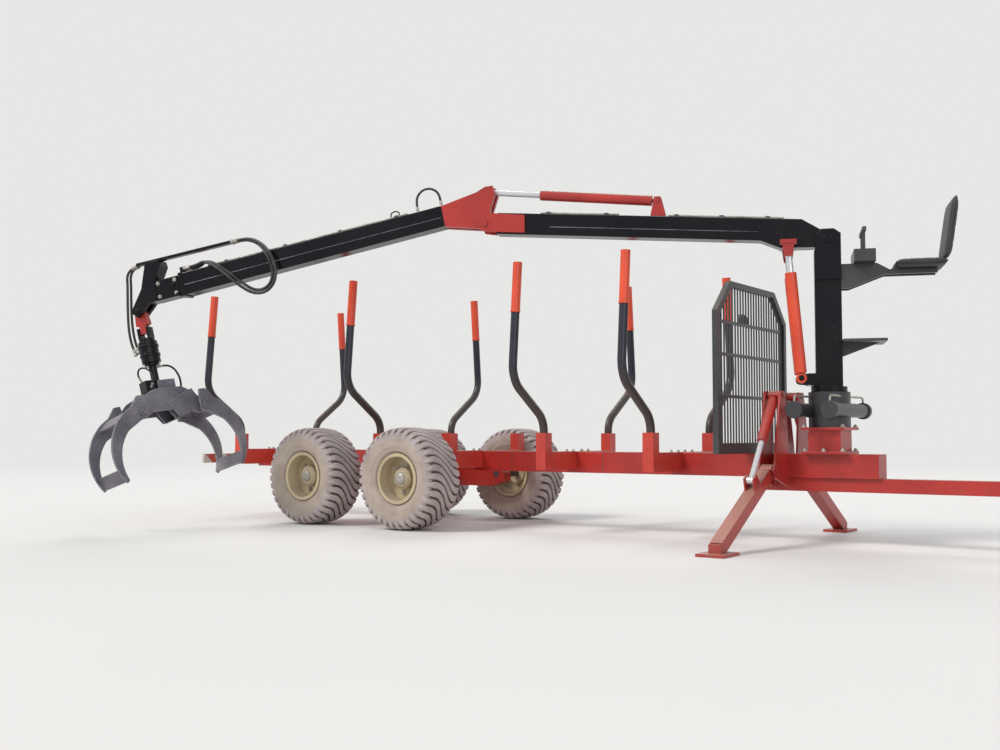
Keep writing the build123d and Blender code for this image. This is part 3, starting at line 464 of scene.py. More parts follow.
def makeBoltTree():
    tree = newTree("boltsOnPoints", [
        ("Across", "Float", 0.024), ("Height", "Float", 0.012), ("Washer", "Float", 0.018),
        ("Finish", "Material", None)])
    entry = treeNode(tree, "NodeGroupInput")
    height = entry.outputs["Height"]

    def halved(socket):
        return treeNode(tree, "ShaderNodeMath", {"operation": "MULTIPLY"}, {0: socket, 1: 0.5}).outputs[0]

    def stood(shape, middle):
        place = treeNode(tree, "ShaderNodeCombineXYZ", {}, {"Z": middle})
        return treeNode(tree, "GeometryNodeTransform", {}, {
            "Geometry": shape.outputs[0], "Translation": place.outputs[0]}).outputs[0]

    head = treeNode(tree, "GeometryNodeMeshCylinder", {}, {
        "Vertices": 6, "Radius": halved(entry.outputs["Across"]), "Depth": height})
    washer = treeNode(tree, "GeometryNodeMeshCylinder", {}, {
        "Vertices": 20, "Radius": entry.outputs["Washer"], "Depth": 0.004})
    tip = treeNode(tree, "GeometryNodeMeshCone", {}, {
        "Vertices": 12, "Radius Top": 0.004, "Radius Bottom": 0.006, "Depth": 0.006})
    bolt = treeNode(tree, "GeometryNodeJoinGeometry")
    for part in (stood(head, halved(height)), stood(washer, 0.001), stood(tip, height)):
        tree.links.new(part, bolt.inputs[0])
    facing = treeNode(tree, "GeometryNodeInputNamedAttribute", {"data_type": "FLOAT_VECTOR"}, {
        "Name": "facing"})
    turn = treeNode(tree, "FunctionNodeAlignRotationToVector", {"axis": "Z"}, {"Vector": facing.outputs[0]})
    copies = treeNode(tree, "GeometryNodeInstanceOnPoints", {}, {
        "Points": entry.outputs["Geometry"], "Instance": bolt.outputs[0], "Rotation": turn.outputs[0]})
    endTree(tree, copies, entry)
    return tree


ringTree = makeRingTree()
boltTree = makeBoltTree()


def bakedMesh(thing):
    # the mesh of a thing with its modifiers, or with a curve's thickness
    bpy.context.view_layer.update()
    seen = thing.evaluated_get(bpy.context.evaluated_depsgraph_get())
    return bpy.data.meshes.new_from_object(seen)


def grow(mesh, tree, settings):
    host = bpy.data.objects.new(mesh.name + "Host", mesh)
    scene.collection.objects.link(host)
    modifier = host.modifiers.new("grow", "NODES")
    modifier.node_group = tree
    for item in tree.interface.items_tree:
        if item.item_type == "SOCKET" and item.in_out == "INPUT" and item.name in settings:
            modifier[item.identifier] = settings[item.name]
    grown = bakedMesh(host)
    host.modifiers.clear()
    bpy.data.objects.remove(host)
    return grown


def bolts(name, body, points, size):
    # points: (place, facing) in the row frame; size: across the head, its height and the washer's radius
    across, height, washer = size
    mesh = bpy.data.meshes.new(name)
    mesh.from_pydata([place for place, _ in points], [], [])
    mark = mesh.attributes.new("facing", "FLOAT_VECTOR", "POINT")
    for item, (_, facing) in zip(mark.data, points):
        item.vector = facing
    grown = grow(mesh, boltTree, {
        "Across": across, "Height": height, "Washer": washer, "Finish": coats["zincBolt"]})
    grown.name = name
    keepPiece(name, grown, body)


# Tyres: a carcass with 36 lugs that run in an S from shoulder to shoulder. Sizes in metres, sweep and
# wave of the S in degrees

tyre = {
    "lugs": 36, "sweep": 14.0, "wave": 4.6, "lugWidth": 0.05, "footWidth": 0.062, "steps": 144,
    # the share of a lug's width that is level, how far its edges drop and how deep its foot is set
    "level": 0.75, "edgeDrop": 0.003, "sunk": 0.006,
    # half width where the S ends, and where a lug starts to get narrower, by which share and over how much
    "shoulder": 0.178, "narrowFrom": 0.15, "narrowBy": 0.3, "narrowOver": 0.05,
    # the radius at which a lug's width is measured, and the half width that has the grooves' tone
    "widthRadius": 0.42, "grooveTo": 0.17,
    # half width, radius of the carcass and radius of the lugs over it
    "crown": [(0.0, 0.409, 0.4365), (0.06, 0.4085, 0.4355), (0.115, 0.406, 0.4325), (0.152, 0.401, 0.426),
              (0.177, 0.391, 0.413), (0.191, 0.372, 0.391), (0.197, 0.353, 0.362)],
    # half width and radius, from the shoulder down to the rim
    "wall": [(0.2005, 0.34), (0.2015, 0.318), (0.1985, 0.3), (0.1992, 0.297), (0.1955, 0.284),
             (0.1962, 0.281), (0.188, 0.262), (0.18, 0.25), (0.181, 0.246), (0.168, 0.232), (0.1625, 0.2285),
             (0.15, 0.226), (0.1535, 0.202)],
}
# values of the lug attribute that the rubber's colours follow
tones = {"groove": 0.0, "shoulder": 0.55, "edge": 0.75, "top": 1.0, "wall": 1.5}


def tyreOutline():
    half = []
    for y, carcass, _ in tyre["crown"]:
        half.append((y, carcass, tones["groove" if y < tyre["grooveTo"] else "shoulder"]))
    half += [(y, radius, tones["wall"]) for y, radius in tyre["wall"]]
    far = [(radius, -y, tone) for y, radius, tone in reversed(half)]
    near = [(radius, y, tone) for y, radius, tone in half[1:]]
    return far + near


def lugStations():
    # the crown from side to side, with one more station in the middle of each gap
    crown = [(-y, low, high) for y, low, high in reversed(tyre["crown"])] + tyre["crown"][1:]
    stations = []
    for first, second in zip(crown, crown[1:]):
        stations += [first, tuple((a + b) / 2 for a, b in zip(first, second))]
    return stations + [crown[-1]]


def buildLug(shape):
    layer = shape.verts.layers.float.new("lug")
    rows = []
    for y, low, high in lugStations():
        share = max(-1.0, min(1.0, y / tyre["shoulder"]))
        angle = radians(tyre["sweep"] * share + tyre["wave"] * sin(pi * share))
        narrow = 1.0 - tyre["narrowBy"] * max(0.0, abs(y) - tyre["narrowFrom"]) / tyre["narrowOver"]
        top, foot = tyre["lugWidth"] / 2 * narrow, tyre["footWidth"] / 2 * narrow
        level, edge, root = top * tyre["level"], high - tyre["edgeDrop"], low - tyre["sunk"]
        half = [(foot, root, tones["groove"]), (top, edge, tones["edge"]), (level, high, tones["top"])]
        section = [(-across, radius, tone) for across, radius, tone in half] + half[::-1]
        row = []
        for across, radius, tone in section:
            turned = angle + across / tyre["widthRadius"]
            vert = shape.verts.new((radius * sin(turned), y, radius * cos(turned)))
            vert[layer] = tone
            row.append(vert)
        rows.append(row)
    for first, second in zip(rows, rows[1:]):
        for i in range(len(first)):
            j = (i + 1) % len(first)
            shape.faces.new((first[i], first[j], second[j], second[i]))
    shape.faces.new(rows[0])
    shape.faces.new(list(reversed(rows[-1])))


def buildCarcass(shape):
    layer = shape.verts.layers.float.new("lug")
    outline = tyreOutline()
    places = [(radius, y) for radius, y, _ in outline]
    roundProfile(shape, places, tyre["steps"], layer, [tone for _, _, tone in outline])


def makeTyres():
    carcass = meshOf("tyreCarcass", buildCarcass)
    lug = meshOf("tyreLug", buildLug)
    ring = grow(lug, ringTree, {
        "Copies": tyre["lugs"], "Step": 2 * pi / tyre["lugs"], "Finish": coats["tyreRubber"]})
    for place in ("front_left", "front_right", "rear_left", "rear_right"):
        low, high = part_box("tyre_" + place)
        mesh = joinedMesh("tyre_" + place + "_tread", (carcass, ring))
        mesh.transform(Matrix.Translation((Vector(low) + Vector(high)) / 2))
        keepPiece("tyreTread_" + place, mesh, "wheel_" + place, "tyreRubber",
                  ["tyre_" + place])


# Wheels: nuts and hub caps on the CAD rims. Places and sizes in metres, first nut in radians

wheel = {
    # where the wheels' centres are: x of each axle, half of the track, and height
    "ends": {"front": -5.084, "rear": -6.216}, "halfTrack": 0.815, "height": -0.003,
    # disc and capFoot: how far outwards of the centre the nuts and the cap stand
    "nuts": 6, "firstNut": 0.2, "nutCircle": 0.125, "disc": 0.035, "nutSize": (0.03, 0.022, 0.019),
    "capFoot": 0.099, "capSteps": 40,
    # radius and distance outwards of the foot
    "cap": [(0.001, 0), (0.052, 0), (0.056, 0.006), (0.056, 0.016), (0.046, 0.026), (0.022, 0.032),
            (0.001, 0.034)],
}


def buildCap(shape):
    roundProfile(shape, wheel["cap"], wheel["capSteps"])


def makeWheelFittings():
    for end, x in wheel["ends"].items():
        for hand, side in (("left", 1), ("right", -1)):
            place = end + "_" + hand
            centre = Vector((x, side * wheel["halfTrack"], wheel["height"]))
            points = []
            for i in range(wheel["nuts"]):
                angle = 2 * pi * i / wheel["nuts"] + wheel["firstNut"]
                spot = Vector((sin(angle), 0, cos(angle))) * wheel["nutCircle"]
                points.append((centre + spot + Vector((0, side * wheel["disc"], 0)), (0, side, 0)))
            bolts("wheelNuts_" + place, "wheel_" + place, points, wheel["nutSize"])
            mesh = meshOf("hubCap_" + place, buildCap)
            foot = centre + Vector((0, side * wheel["capFoot"], 0))
            mesh.transform(Matrix.Translation(foot) @ Matrix.Rotation(0 if side > 0 else pi, 4, "X"))
            keepPiece("hubCap_" + place, mesh, "wheel_" + place, "zincBolt")


# Hoses: each route is a short list of points in millimetres in one of the crane's frames. A hose rides on
# one body, or, where it runs between two bodies, rides on none and keeps its mesh where it was built. Its
# ferrules ride on the bodies named for its start and its end

hoses = {
    "tipHoseFront": {
        "frame": outerFrame, "thick": 0.026, "between": ("outer_boom", "extension_boom"),
        "ends": ((2660, 0, 280), (2230, 0, 280)), "ferrules": ("extension_boom", "outer_boom"),
        "replaces": "hose_tip_front", "route": [
            (2205, 14, 406), (2106, 14, 406), (1998, 48, 372), (1902, 92, 300), (1838, 124, 208),
            (1812, 126, 110), (1810, 124, 20), (1846, 124, -66), (1930, 122, -118), (2040, 120, -104),
            (2142, 118, -24), (2236, 118, 88), (2342, 116, 206), (2450, 94, 284), (2570, 18, 284),
            (2680, 18, 284)]},
    "tipHoseRear": {
        "frame": outerFrame, "thick": 0.026, "between": ("outer_boom", "extension_boom"),
        "ends": ((2660, 0, 280), (2230, 0, 280)), "ferrules": ("extension_boom", "outer_boom"),
        "replaces": "hose_tip_rear", "route": [
            (2205, -16, 406), (2110, -16, 406), (2012, 18, 364), (1934, 64, 300), (1880, 100, 216),
            (1852, 98, 118), (1850, 97, 28), (1884, 97, -46), (1956, 95, -84), (2044, 93, -70),
            (2130, 92, 4), (2222, 91, 108), (2336, 91, 226), (2444, 66, 290), (2560, -12, 268),
            (2680, -12, 268)]},
    "knuckleHose": {
        "frame": outerFrame, "thick": 0.020, "body": "outer_boom", "ferrules": ("outer_boom", "outer_boom"),
        "replaces": "hose_knuckle", "route": [
            (536, 30, 228), (536, 30, 300), (518, 30, 366), (464, 30, 405), (400, 30, 405), (346, 30, 366),
            (328, 30, 300), (334, 30, 227.2)]},
    "manifoldHose": {
        "frame": hangFrame, "thick": 0.018, "body": "grapple", "ferrules": ("grapple", "grapple"),
        "replaces": "hose_manifold", "route": [
            (-31.2, -13.6, -492), (-82, -35.8, -492), (-128, -68, -504), (-154, -106, -556),
            (-154, -144, -622), (-130, -176, -688), (-114, -192, -726)]},
    "grappleLoop": {
        "frame": hangFrame, "thick": 0.016, "body": "grapple", "ferrules": ("grapple", "grapple"), "route": [
            (80, 84, -608), (92, 110, -556), (58, 142, -508), (8, 156, -500), (-48, 154, -530),
            (-72, 150, -588), (-56, 140, -646), (-14, 104, -672)]},
    "dropHose": {
        "frame": hangFrame, "thick": 0.022, "between": ("extension_boom", "tip_link"),
        "ends": ((0, 0, 120), (0, 0, -120)), "ferrules": ("extension_boom", "tip_link"), "route": [
            (-50, 0, 409), (10, 4, 402), (58, 9, 352), (68, 12, 268), (94, 16, 144), (128, 18, -26),
            (142, 22, -160), (136, 26, -270), (118, 30, -350)]},
    "dropHoseInner": {
        "frame": hangFrame, "thick": 0.022, "between": ("extension_boom", "tip_link"),
        "ends": ((0, 0, 120), (0, 0, -120)), "ferrules": ("extension_boom", "tip_link"), "route": [
            (-50, -26, 409), (2, -24, 400), (42, -20, 350), (52, -16, 262), (76, -12, 144), (108, -8, -26),
            (118, -4, -160), (112, 0, -262), (98, 4, -336)]},
}


def alongCurve(name, place, route, thick):
    curve = bpy.data.curves.new(name + "Line", "CURVE")
    curve.dimensions = "3D"
    spline = curve.splines.new("NURBS")
    spline.points.add(len(route) - 1)
    for point, spot in zip(spline.points, route):
        point.co = (*(place @ (Vector(spot) / 1000)), 1)
    spline.order_u = 3
    spline.use_endpoint_u = True
    curve.resolution_u = 10
    line = bpy.data.objects.new(name + "Line", curve)
    scene.collection.objects.link(line)
    path = [vert.co.copy() for vert in bakedMesh(line).vertices]
    curve.bevel_depth = thick / 2
    curve.bevel_resolution = 5
    curve.use_fill_caps = True
    tube = bakedMesh(line)
    tube.name = name
    bpy.data.objects.remove(line)
    for polygon in tube.polygons:
        polygon.use_smooth = True
    return tube, path


def turnedPiece(name, start, direction, outline, body, finish, steps=20):
    # a turned part: outline of (radius, distance along) from start towards direction
    def build(shape):
        roundProfile(shape, outline, steps)

    mesh = meshOf(name, build)
    aim = Vector((0, 1, 0)).rotation_difference(Vector(direction).normalized()).to_matrix().to_4x4()
    mesh.transform(Matrix.Translation(start) @ aim)
    return keepPiece(name, mesh, body, finish)


def ferruleOutline(thick):
    r = thick / 2
    return [(0.001, -0.012), (r * 0.95, -0.012), (r * 1.5, -0.01), (r * 1.5, 0.012), (r * 1.1, 0.014),
            (r * 1.25, 0.018), (r * 1.25, 0.048), (r * 1.05, 0.052), (0.001, 0.052)]


def makeHoses():
    for name, facts in hoses.items():
        tube, path = alongCurve(name, facts["frame"], facts["route"], facts["thick"])
        replaced = [facts["replaces"]] if "replaces" in facts else []
        piece = keepPiece(name, tube, facts.get("body"), "hoseRubber", replaced)
        between = facts.get("between")
        if between:
            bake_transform(piece)
        outline = ferruleOutline(facts["thick"])
        startBody, endBody = facts["ferrules"]
        turnedPiece(name + "Start", path[0], path[3] - path[0], outline, startBody, "zincBolt")
        turnedPiece(name + "End", path[-1], path[-4] - path[-1], outline, endBody, "zincBolt")


# Steel pipes, edge beads and a handle along the booms, and pipes on the slew cylinders. The edge beads are
# light grey, a painted highlight along the booms' top edges. Lines are in millimetres, thicknesses in metres

# the outer boom's top face rises slightly towards its tip
topFace = {"start": 326, "height": 227, "length": 2399, "rise": 11}


def boomTop(s, lift):
    # lift over the top face at s along the outer boom
    return topFace["height"] + (s - topFace["start"]) * topFace["rise"] / topFace["length"] + lift


def topLine(start, end, y, lift):
    return [(start, y, boomTop(start, lift)), (end, y, boomTop(end, lift))]


def slewPipe(x, side):
    return [(x, side * 360, 1046), (x, side * 360, 1076), (x, side * 335, 1086), (x, side * 240, 1086),
            (x * 0.86, side * 90, 1086)]


pipes = {
    "mainBoomPipes": {
        "frame": mainFrame, "body": "main_boom", "thick": 0.015, "finish": "zincBolt",
        "lines": [[(320, y, 154), (1180, y, 154)] for y in (22, 40, 58)]
        + [[(1560, y, 154), (2180, y, 154)] for y in (40, 58)]},
    "outerBoomPipes": {
        "frame": outerFrame, "body": "outer_boom", "thick": 0.014, "finish": "zincBolt",
        "lines": [topLine(620, 2440, y, 9) for y in (40, 58)]},
    # a light grey bead along each top edge of the main boom: painted highlight
    "mainBoomEdges": {
        "frame": mainFrame, "body": "main_boom", "thick": 0.005, "finish": "paintedEdgeHighlight",
        "lines": [[(260, y, 144), (2150, y, 144)] for y in (-69, 69)]},
    # a light grey bead along each top edge of the outer boom: painted highlight
    "outerBoomEdges": {
        "frame": outerFrame, "body": "outer_boom", "thick": 0.005, "finish": "paintedEdgeHighlight",
        "lines": [topLine(400, 2686, y, -1) for y in (-69, 69)]},
    "outerBoomHandle": {
        "frame": outerFrame, "body": "outer_boom", "thick": 0.012, "finish": "lampBlack",
        "lines": [[(772, 10, 230), (776, 10, 272), (762, 10, 292), (737, 10, 297), (712, 10, 292),
                   (698, 10, 272), (702, 10, 230)]]},
    "slewPipes": {
        "frame": footFrame, "body": "trailer", "thick": 0.016, "finish": "zincBolt",
        "lines": [slewPipe(x, side) for x in (-130, 130) for side in (-1, 1)]},
}


def makePipes():
    for name, facts in pipes.items():
        tubes = []
        for index, line in enumerate(facts["lines"]):
            tube, _ = alongCurve(name + str(index), facts["frame"], line, facts["thick"])
            tubes.append(tube)
        keepPiece(name, joinedMesh(name, tubes), facts["body"], facts["finish"])


# Small plates: clamps on the pipes, and weld seams on the booms and the beam. The seams on the booms are
# light grey, a painted highlight along them

def plates(name, place, sizes, body, finish, slot, bevel=0.002):
    # sizes: (low corner, high corner) of each small plate in millimetres
    def build(shape):
        for low, high in sizes:
            low, high = Vector(low) / 1000, Vector(high) / 1000
            made = bmesh.ops.create_cube(shape, size=1)["verts"]
            bmesh.ops.scale(shape, vec=high - low, verts=made)
            bmesh.ops.translate(shape, vec=(low + high) / 2, verts=made)
        bmesh.ops.bevel(shape, geom=shape.edges[:], offset=bevel, segments=2, affect="EDGES", profile=0.5)

    mesh = meshOf(name, build)
    mesh.transform(place)
    return keepPiece(name, mesh, body, finish)


def sideSeam(start, end, side, low):
    # a seam 3 mm wide and 5 mm high on the side of a boom
    return (start, side * 70.5 - 1.5, low), (end, side * 70.5 + 1.5, low + 5)


# look: coat, slot and rounding in metres; sizes as plates() takes them
smallPlates = {
    "mainPipeClamps": {
        "frame": mainFrame, "body": "main_boom", "look": ("darkSteel", "grey_steel", 0.002),
        "sizes": [((s, 10, 144.5), (s + 34, 70, 164)) for s in (420, 760, 1100, 1640, 2100)]},
    "outerPipeClamps": {
        "frame": outerFrame, "body": "outer_boom", "look": ("darkSteel", "grey_steel", 0.002),
        "sizes": [((s, 28, boomTop(s, -0.5)), (s + 30, 69, boomTop(s, 19)))
                  for s in (700, 1200, 1700, 2250)]},
    "beamSeams": {
        "frame": toGround, "body": "trailer", "look": ("darkSteel", "red_paint", 0.001),
        "sizes": [((x, -91.2, 492), (x + 5, 91.2, 666.2)) for x in (1130, 2060)]},
    "outerBoomSeams": {
        # light grey seams on the outer boom's sides: painted highlight
        "frame": outerFrame, "body": "outer_boom", "look": ("paintedEdgeHighlight", "black_paint", 0.0008),
        "sizes": [sideSeam(340, 2680, side, 131) for side in (-1, 1)]},
    "mainBoomSeams": {
        # light grey seams on the main boom's sides: painted highlight
        "frame": mainFrame, "body": "main_boom", "look": ("paintedEdgeHighlight", "black_paint", 0.0008),
        "sizes": [sideSeam(500, 2100, side, 40) for side in (-1, 1)]},
}
# the domed cap on the outer boom near the knuckle, in metres
boomCap = {
    "place": (0.395, -0.03, 0.2275), "steps": 36,
    "outline": [(0.001, -0.004), (0.034, -0.004), (0.036, 0.004), (0.033, 0.016), (0.025, 0.027),
                (0.012, 0.033), (0.001, 0.034)],
}


def makeClampsAndSeams():
    for name, facts in smallPlates.items():
        plates(name, facts["frame"], facts["sizes"], facts["body"], *facts["look"])
    upwards = outerFrame.to_3x3() @ Vector((0, 0, 1))
    turnedPiece("boomTopCap", outerFrame @ Vector(boomCap["place"]), upwards, boomCap["outline"],
                "outer_boom", "zincBolt", steps=boomCap["steps"])


# Bolts where plates are fastened. Each bolt is its place in metres and the way it faces; a size is across
# the head, its height and the washer's radius

fastenings = {
    "footBolts": {
        "frame": footFrame, "body": "trailer", "size": (0.03, 0.018, 0.022),
        "bolts": [((x, y, 0.685), (0, 0, 1)) for x in (-0.14, 0, 0.14) for y in (-0.14, 0.14)]
        + [((x, y, 0.86), (0, 0, 1)) for x in (-0.142, 0.142) for y in (-0.142, 0.142)]},
    "sleeveBolts": {
        "frame": outerFrame, "body": "extension_boom", "size": (0.024, 0.014, 0.017),
        "bolts": [((s, side * 0.0645, z), (0, side, 0))
                  for s in (2.77, 2.93) for z in (0.085, 0.2) for side in (-1, 1)]},
    "bunkBolts": {
        "frame": toGround, "body": "trailer", "size": (0.024, 0.014, 0.017),
        "bolts": [((x + dx, side * 0.12, 0.67), (0, 0, 1))
                  for x in (-1.926, -0.038, 0.763, 1.756, 2.739) for side in (-1, 1)
                  for dx in (-0.032, 0.032)]},
    "boardBolts": {
        "frame": toGround, "body": "trailer", "size": (0.016, 0.009, 0.012),
        "bolts": [((-2.2105, y, 0.575), (-1, 0, 0)) for y in (-0.42, -0.2, 0.2, 0.42)]},
}


def makeBolts():
    for name, facts in fastenings.items():
        place, turn = facts["frame"], facts["frame"].to_3x3()
        points = [(place @ Vector(spot), turn @ Vector(facing)) for spot, facing in facts["bolts"]]
        bolts(name, facts["body"], points, facts["size"])


# Rear lamps: a dark housing with three lenses each, in millimetres

rearLamp = {
    "middle": 650, "housing": {"x": (-2236, -2210), "y": (-100, 100), "z": (535, 615), "bevel": 0.004},
    "lens": {"x": (-2249, -2234), "z": (541, 609), "bevel": 0.003},
    # coat, how far outwards of the lamp's middle, and the edges to either side of that
    "lenses": {
        "rearLampReds": ("redLens", 0, (-30, 32)),
        "rearLampAmbers": ("amberLens", 66, (-29, 29)),
        "rearLampClears": ("clearLens", -64, (-30, 30)),
    },
}


def lampPlates(outwards, x, y, z):
    pair = []
    for side in (-1, 1):
        middle = side * (rearLamp["middle"] + outwards)
        pair.append(((x[0], middle + y[0], z[0]), (x[1], middle + y[1], z[1])))
    return pair


def makeRearLamps():
    box, lens = rearLamp["housing"], rearLamp["lens"]
    housings = lampPlates(0, box["x"], box["y"], box["z"])
    housing = plates("rearLampHousings", toGround, housings, "trailer", "lampBlack", "lamp_plastic",
                     box["bevel"])
    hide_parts("rear_lamps")
    for name, (coat, outwards, edges) in rearLamp["lenses"].items():
        sizes = lampPlates(outwards, lens["x"], edges, lens["z"])
        plates(name, toGround, sizes, "trailer", coat, "lamp_plastic", lens["bevel"])


# Work lamp on the headboard: outlines of (radius, distance forwards) and its place in metres, bracket in
# millimetres

workLamp = {
    "back": (3.324, -0.04, 1.695), "facing": (-1, 0, 0), "steps": 40,
    "shell": [(0.001, 0), (0.024, 0), (0.03, 0.006), (0.042, 0.022), (0.0465, 0.04), (0.0465, 0.058),
              (0.0425, 0.06), (0.041, 0.052), (0.001, 0.052)],
    "glass": [(0.001, 0.05), (0.0405, 0.05), (0.0405, 0.053), (0.03, 0.0575), (0.001, 0.0595)],
    "bracket": ((3322, -60, 1628), (3338, -20, 1705)),
}


def makeWorkLamp():
    aim = toGround.to_3x3() @ Vector(workLamp["facing"])
    back = toGround @ Vector(workLamp["back"])
    piece = turnedPiece("workLampShell", back, aim, workLamp["shell"], "trailer", "lampBlack",
                        workLamp["steps"])
    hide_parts("work_lamp")
    turnedPiece("workLampGlass", back, aim, workLamp["glass"], "trailer", "clearLens",
                workLamp["steps"])
    plates("workLampBracket", toGround, [workLamp["bracket"]], "trailer", "lampBlack", "black_paint")


# Grapple: raised cover panels on the side plates and heads on the claws' pins, in the grapple's frame.
# The panels' corners are in millimetres, all else in metres

cover = {
    "corners": [(-27, -670), (226, -573), (318, -738), (72, -806)],
    "inside": 0.157, "outside": 0.166, "rounding": 0.002,
}
pinHead = {
    "ends": {"Front": -0.291, "Rear": 0.291}, "side": 0.236, "height": -0.748, "steps": 32,
    "outline": [(0.001, 0), (0.024, 0), (0.027, 0.003), (0.027, 0.009), (0.022, 0.013), (0.01, 0.013),
                (0.008, 0.009), (0.001, 0.009)],
}


def buildCovers(shape):
    for side in (-1, 1):
        near, far = [[shape.verts.new((x / 1000, side * depth, z / 1000)) for x, z in cover["corners"]]
                     for depth in (cover["outside"], cover["inside"])]
        shape.faces.new(near)
        shape.faces.new(list(reversed(far)))
        for i in range(len(near)):
            j = (i + 1) % len(near)
            shape.faces.new((near[i], far[i], far[j], near[j]))
    bmesh.ops.bevel(shape, geom=shape.edges[:], offset=cover["rounding"], segments=2, affect="EDGES",
                    profile=0.5)


def makeGrappleDetail():
    mesh = meshOf("coverPanels", buildCovers)
    mesh.transform(grappleFrame)
    keepPiece("coverPanels", mesh, "grapple", "grappleSteel")
    for end, x in pinHead["ends"].items():
        for hand, side in (("Far", -1), ("Near", 1)):
            place = grappleFrame @ Vector((x, side * pinHead["side"], pinHead["height"]))
            outwards = grappleFrame.to_3x3() @ Vector((0, side, 0))
            turnedPiece("clawPinHead" + end + hand, place, outwards, pinHead["outline"], "grapple",
                        "tineSteel", steps=pinHead["steps"])


# Operator's seat: pan and back as crowned pads with sewn channels. Sizes and places in metres, lean in
# degrees

seat = {
    "pan": {"width": 0.43, "length": 0.35, "thick": 0.055, "place": (-0.64, 0, 2.04), "lean": 0},
    "back": {"width": 0.41, "length": 0.44, "thick": 0.05, "place": (-0.846, 0, 2.29), "lean": -98.6},
    "crown": 0.014, "channels": 4, "channelDepth": 0.005, "steps": 40,
    # the higher, the narrower the channels, the squarer the rim and the shorter the pull at the ends
    "channelPower": 7, "rimPower": 7, "pullPower": 9,
    # how far the cover is drawn towards the middle near its ends, as a share
    "pull": 0.03,
}


def padRise(u, v, thick, upper):
    # how far a face is from the pad's middle at u and v, which go from -1 to 1. Only the upper face has the
    # crown and the channels
    edge = (1 - abs(u) ** seat["rimPower"]) * (1 - abs(v) ** seat["rimPower"])
    rise = thick / 2 * edge ** 0.5
    if upper:
        furrow = max(0.0, 1 - abs(sin(pi * seat["channels"] * (v + 1) / 2)) * seat["channelPower"])
        rise += edge * (seat["crown"] * (1 - u * u) - seat["channelDepth"] * furrow)
    return rise


def buildPad(shape, facts):
    spread = [2 * i / seat["steps"] - 1 for i in range(seat["steps"] + 1)]
    for layer in (1, -1):
        grid = []
        for u in spread:
            line = []
            for v in spread:
                drawn = 1 - seat["pull"] * (1 - u * u) * abs(v) ** seat["pullPower"]
                rise = padRise(u, v, facts["thick"], layer > 0)
                spot = (u * facts["width"] / 2 * drawn, v * facts["length"] / 2, layer * rise)
                line.append(shape.verts.new(spot))
            grid.append(line)
        for line, after in zip(grid, grid[1:]):
            for j in range(seat["steps"]):
                face = shape.faces.new((line[j], after[j], after[j + 1], line[j + 1]))
                face.smooth = True
    bmesh.ops.remove_doubles(shape, verts=shape.verts, dist=1e-5)


def makePad(name, facts, replaced=()):
    mesh = meshOf(name, lambda shape: buildPad(shape, facts))
    leant = standing(craneFrame, facts["place"], facts["lean"])
    mesh.transform(leant @ Matrix.Rotation(radians(90), 4, "Z"))
    return keepPiece(name, mesh, "pillar", "seatVinyl", replaced)


def makeSeat():
    pan = makePad("seatPan", seat["pan"], ["operator_seat"])
    back = makePad("seatBack", seat["back"])


# Floor, lamps and sky: places and sizes in metres, spread in degrees

backdrop = (0.8, 0.8, 0.79)
floor = {
    "size": 120, "middle": (-4, 0, -0.4405), "shades": ((0.72, 0.71, 0.69), (0.76, 0.75, 0.73)),
    "patch": 3.0, "roughness": 0.92, "fadeFrom": 7.0, "fadeTo": 26.0,
}
lamps = {
    "keyLamp": {"from": (-5.0, -9.0, 9.5), "power": 2.0, "spread": 22, "colour": (1.0, 0.97, 0.93)},
    "fillLamp": {"from": (9.5, -7.0, 5.0), "power": 0.55, "spread": 40, "colour": (0.93, 0.96, 1.0)},
    "rimLamp": {"from": (-6.0, 9.0, 9.0), "power": 0.9, "spread": 30, "colour": (1.0, 1.0, 1.0)},
}
skyLight = {"colour": (0.93, 0.95, 1.0), "power": 0.5}


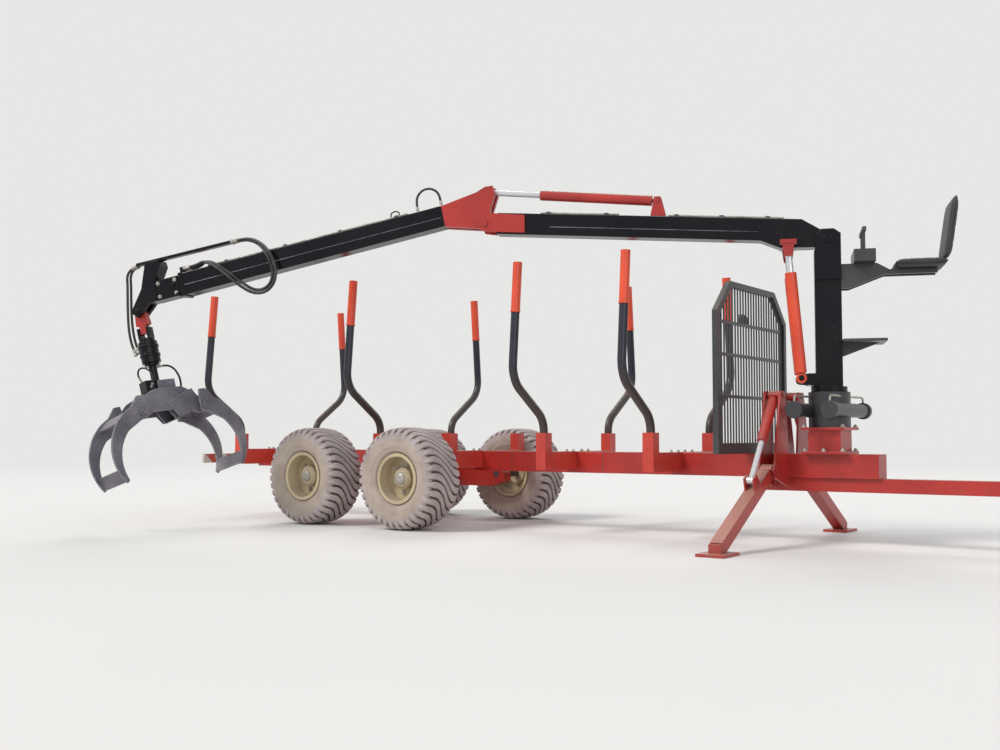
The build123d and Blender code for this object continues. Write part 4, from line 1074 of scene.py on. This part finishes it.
def makeFloor():
    # the floor takes on the backdrop's own colour as it nears the horizon
    paint = Paint("floorPaint")
    shade = paint.mix(paint.noise(floor["patch"], 3), *floor["shades"])
    paint.finish(shade, floor["roughness"])
    away = paint.node("VectorMath", {"operation": "LENGTH"}, {0: paint.place})[1]
    glow = paint.node("Emission", {}, {"Color": backdrop, "Strength": 1.0})[0]
    surface = Wire(paint, paint.surface.outputs[0])
    share = paint.between(away, floor["fadeFrom"], floor["fadeTo"])
    faded = paint.node("MixShader", {}, {0: share, 1: surface, 2: glow})[0]
    paint.tree.links.new(faded.socket, paint.tree.nodes["Material Output"].inputs[0])
    bpy.ops.mesh.primitive_plane_add(size=floor["size"], location=floor["middle"])
    ground = bpy.context.object
    ground.name = "floor"
    ground.data.materials.append(paint.material)


def makeLamps():
    for name, facts in lamps.items():
        data = bpy.data.lights.new(name, "SUN")
        data.energy = facts["power"]
        data.color = facts["colour"]
        data.angle = radians(facts["spread"])
        lamp = bpy.data.objects.new(name, data)
        lamp.location = facts["from"]
        lamp.rotation_euler = Vector(facts["from"]).to_track_quat("Z", "Y").to_euler()
        scene.collection.objects.link(lamp)


def makeSky():
    # the camera and glossy surfaces see the backdrop, and all else gets the sky's light
    world = bpy.data.worlds.new("studio")
    scene.world = world
    world.use_nodes = True
    sky = world.node_tree.nodes
    link = world.node_tree.links.new
    light, shown = sky["Background"], sky.new("ShaderNodeBackground")
    for source, colour, power in ((light, skyLight["colour"], skyLight["power"]), (shown, backdrop, 1.0)):
        source.inputs[0].default_value = (*colour, 1)
        source.inputs[1].default_value = power
    seen = sky.new("ShaderNodeLightPath")
    either = sky.new("ShaderNodeMath")
    either.operation = "MAXIMUM"
    link(seen.outputs["Is Camera Ray"], either.inputs[0])
    link(seen.outputs["Is Glossy Ray"], either.inputs[1])
    chosen = sky.new("ShaderNodeMixShader")
    link(either.outputs[0], chosen.inputs[0])
    link(light.outputs[0], chosen.inputs[1])
    link(shown.outputs[0], chosen.inputs[2])
    link(chosen.outputs[0], sky["World Output"].inputs[0])


placeCamera()
print("camera placed")
makeHoses()
dressNodes()
print("nodes dressed")
makeTyres()
makeWheelFittings()
print("wheels made")
makePipes()
makeClampsAndSeams()
makeBolts()
makeRearLamps()
makeWorkLamp()
makeGrappleDetail()
makeSeat()
print("fittings made")
makeFloor()
makeLamps()
makeSky()
print("stage set")
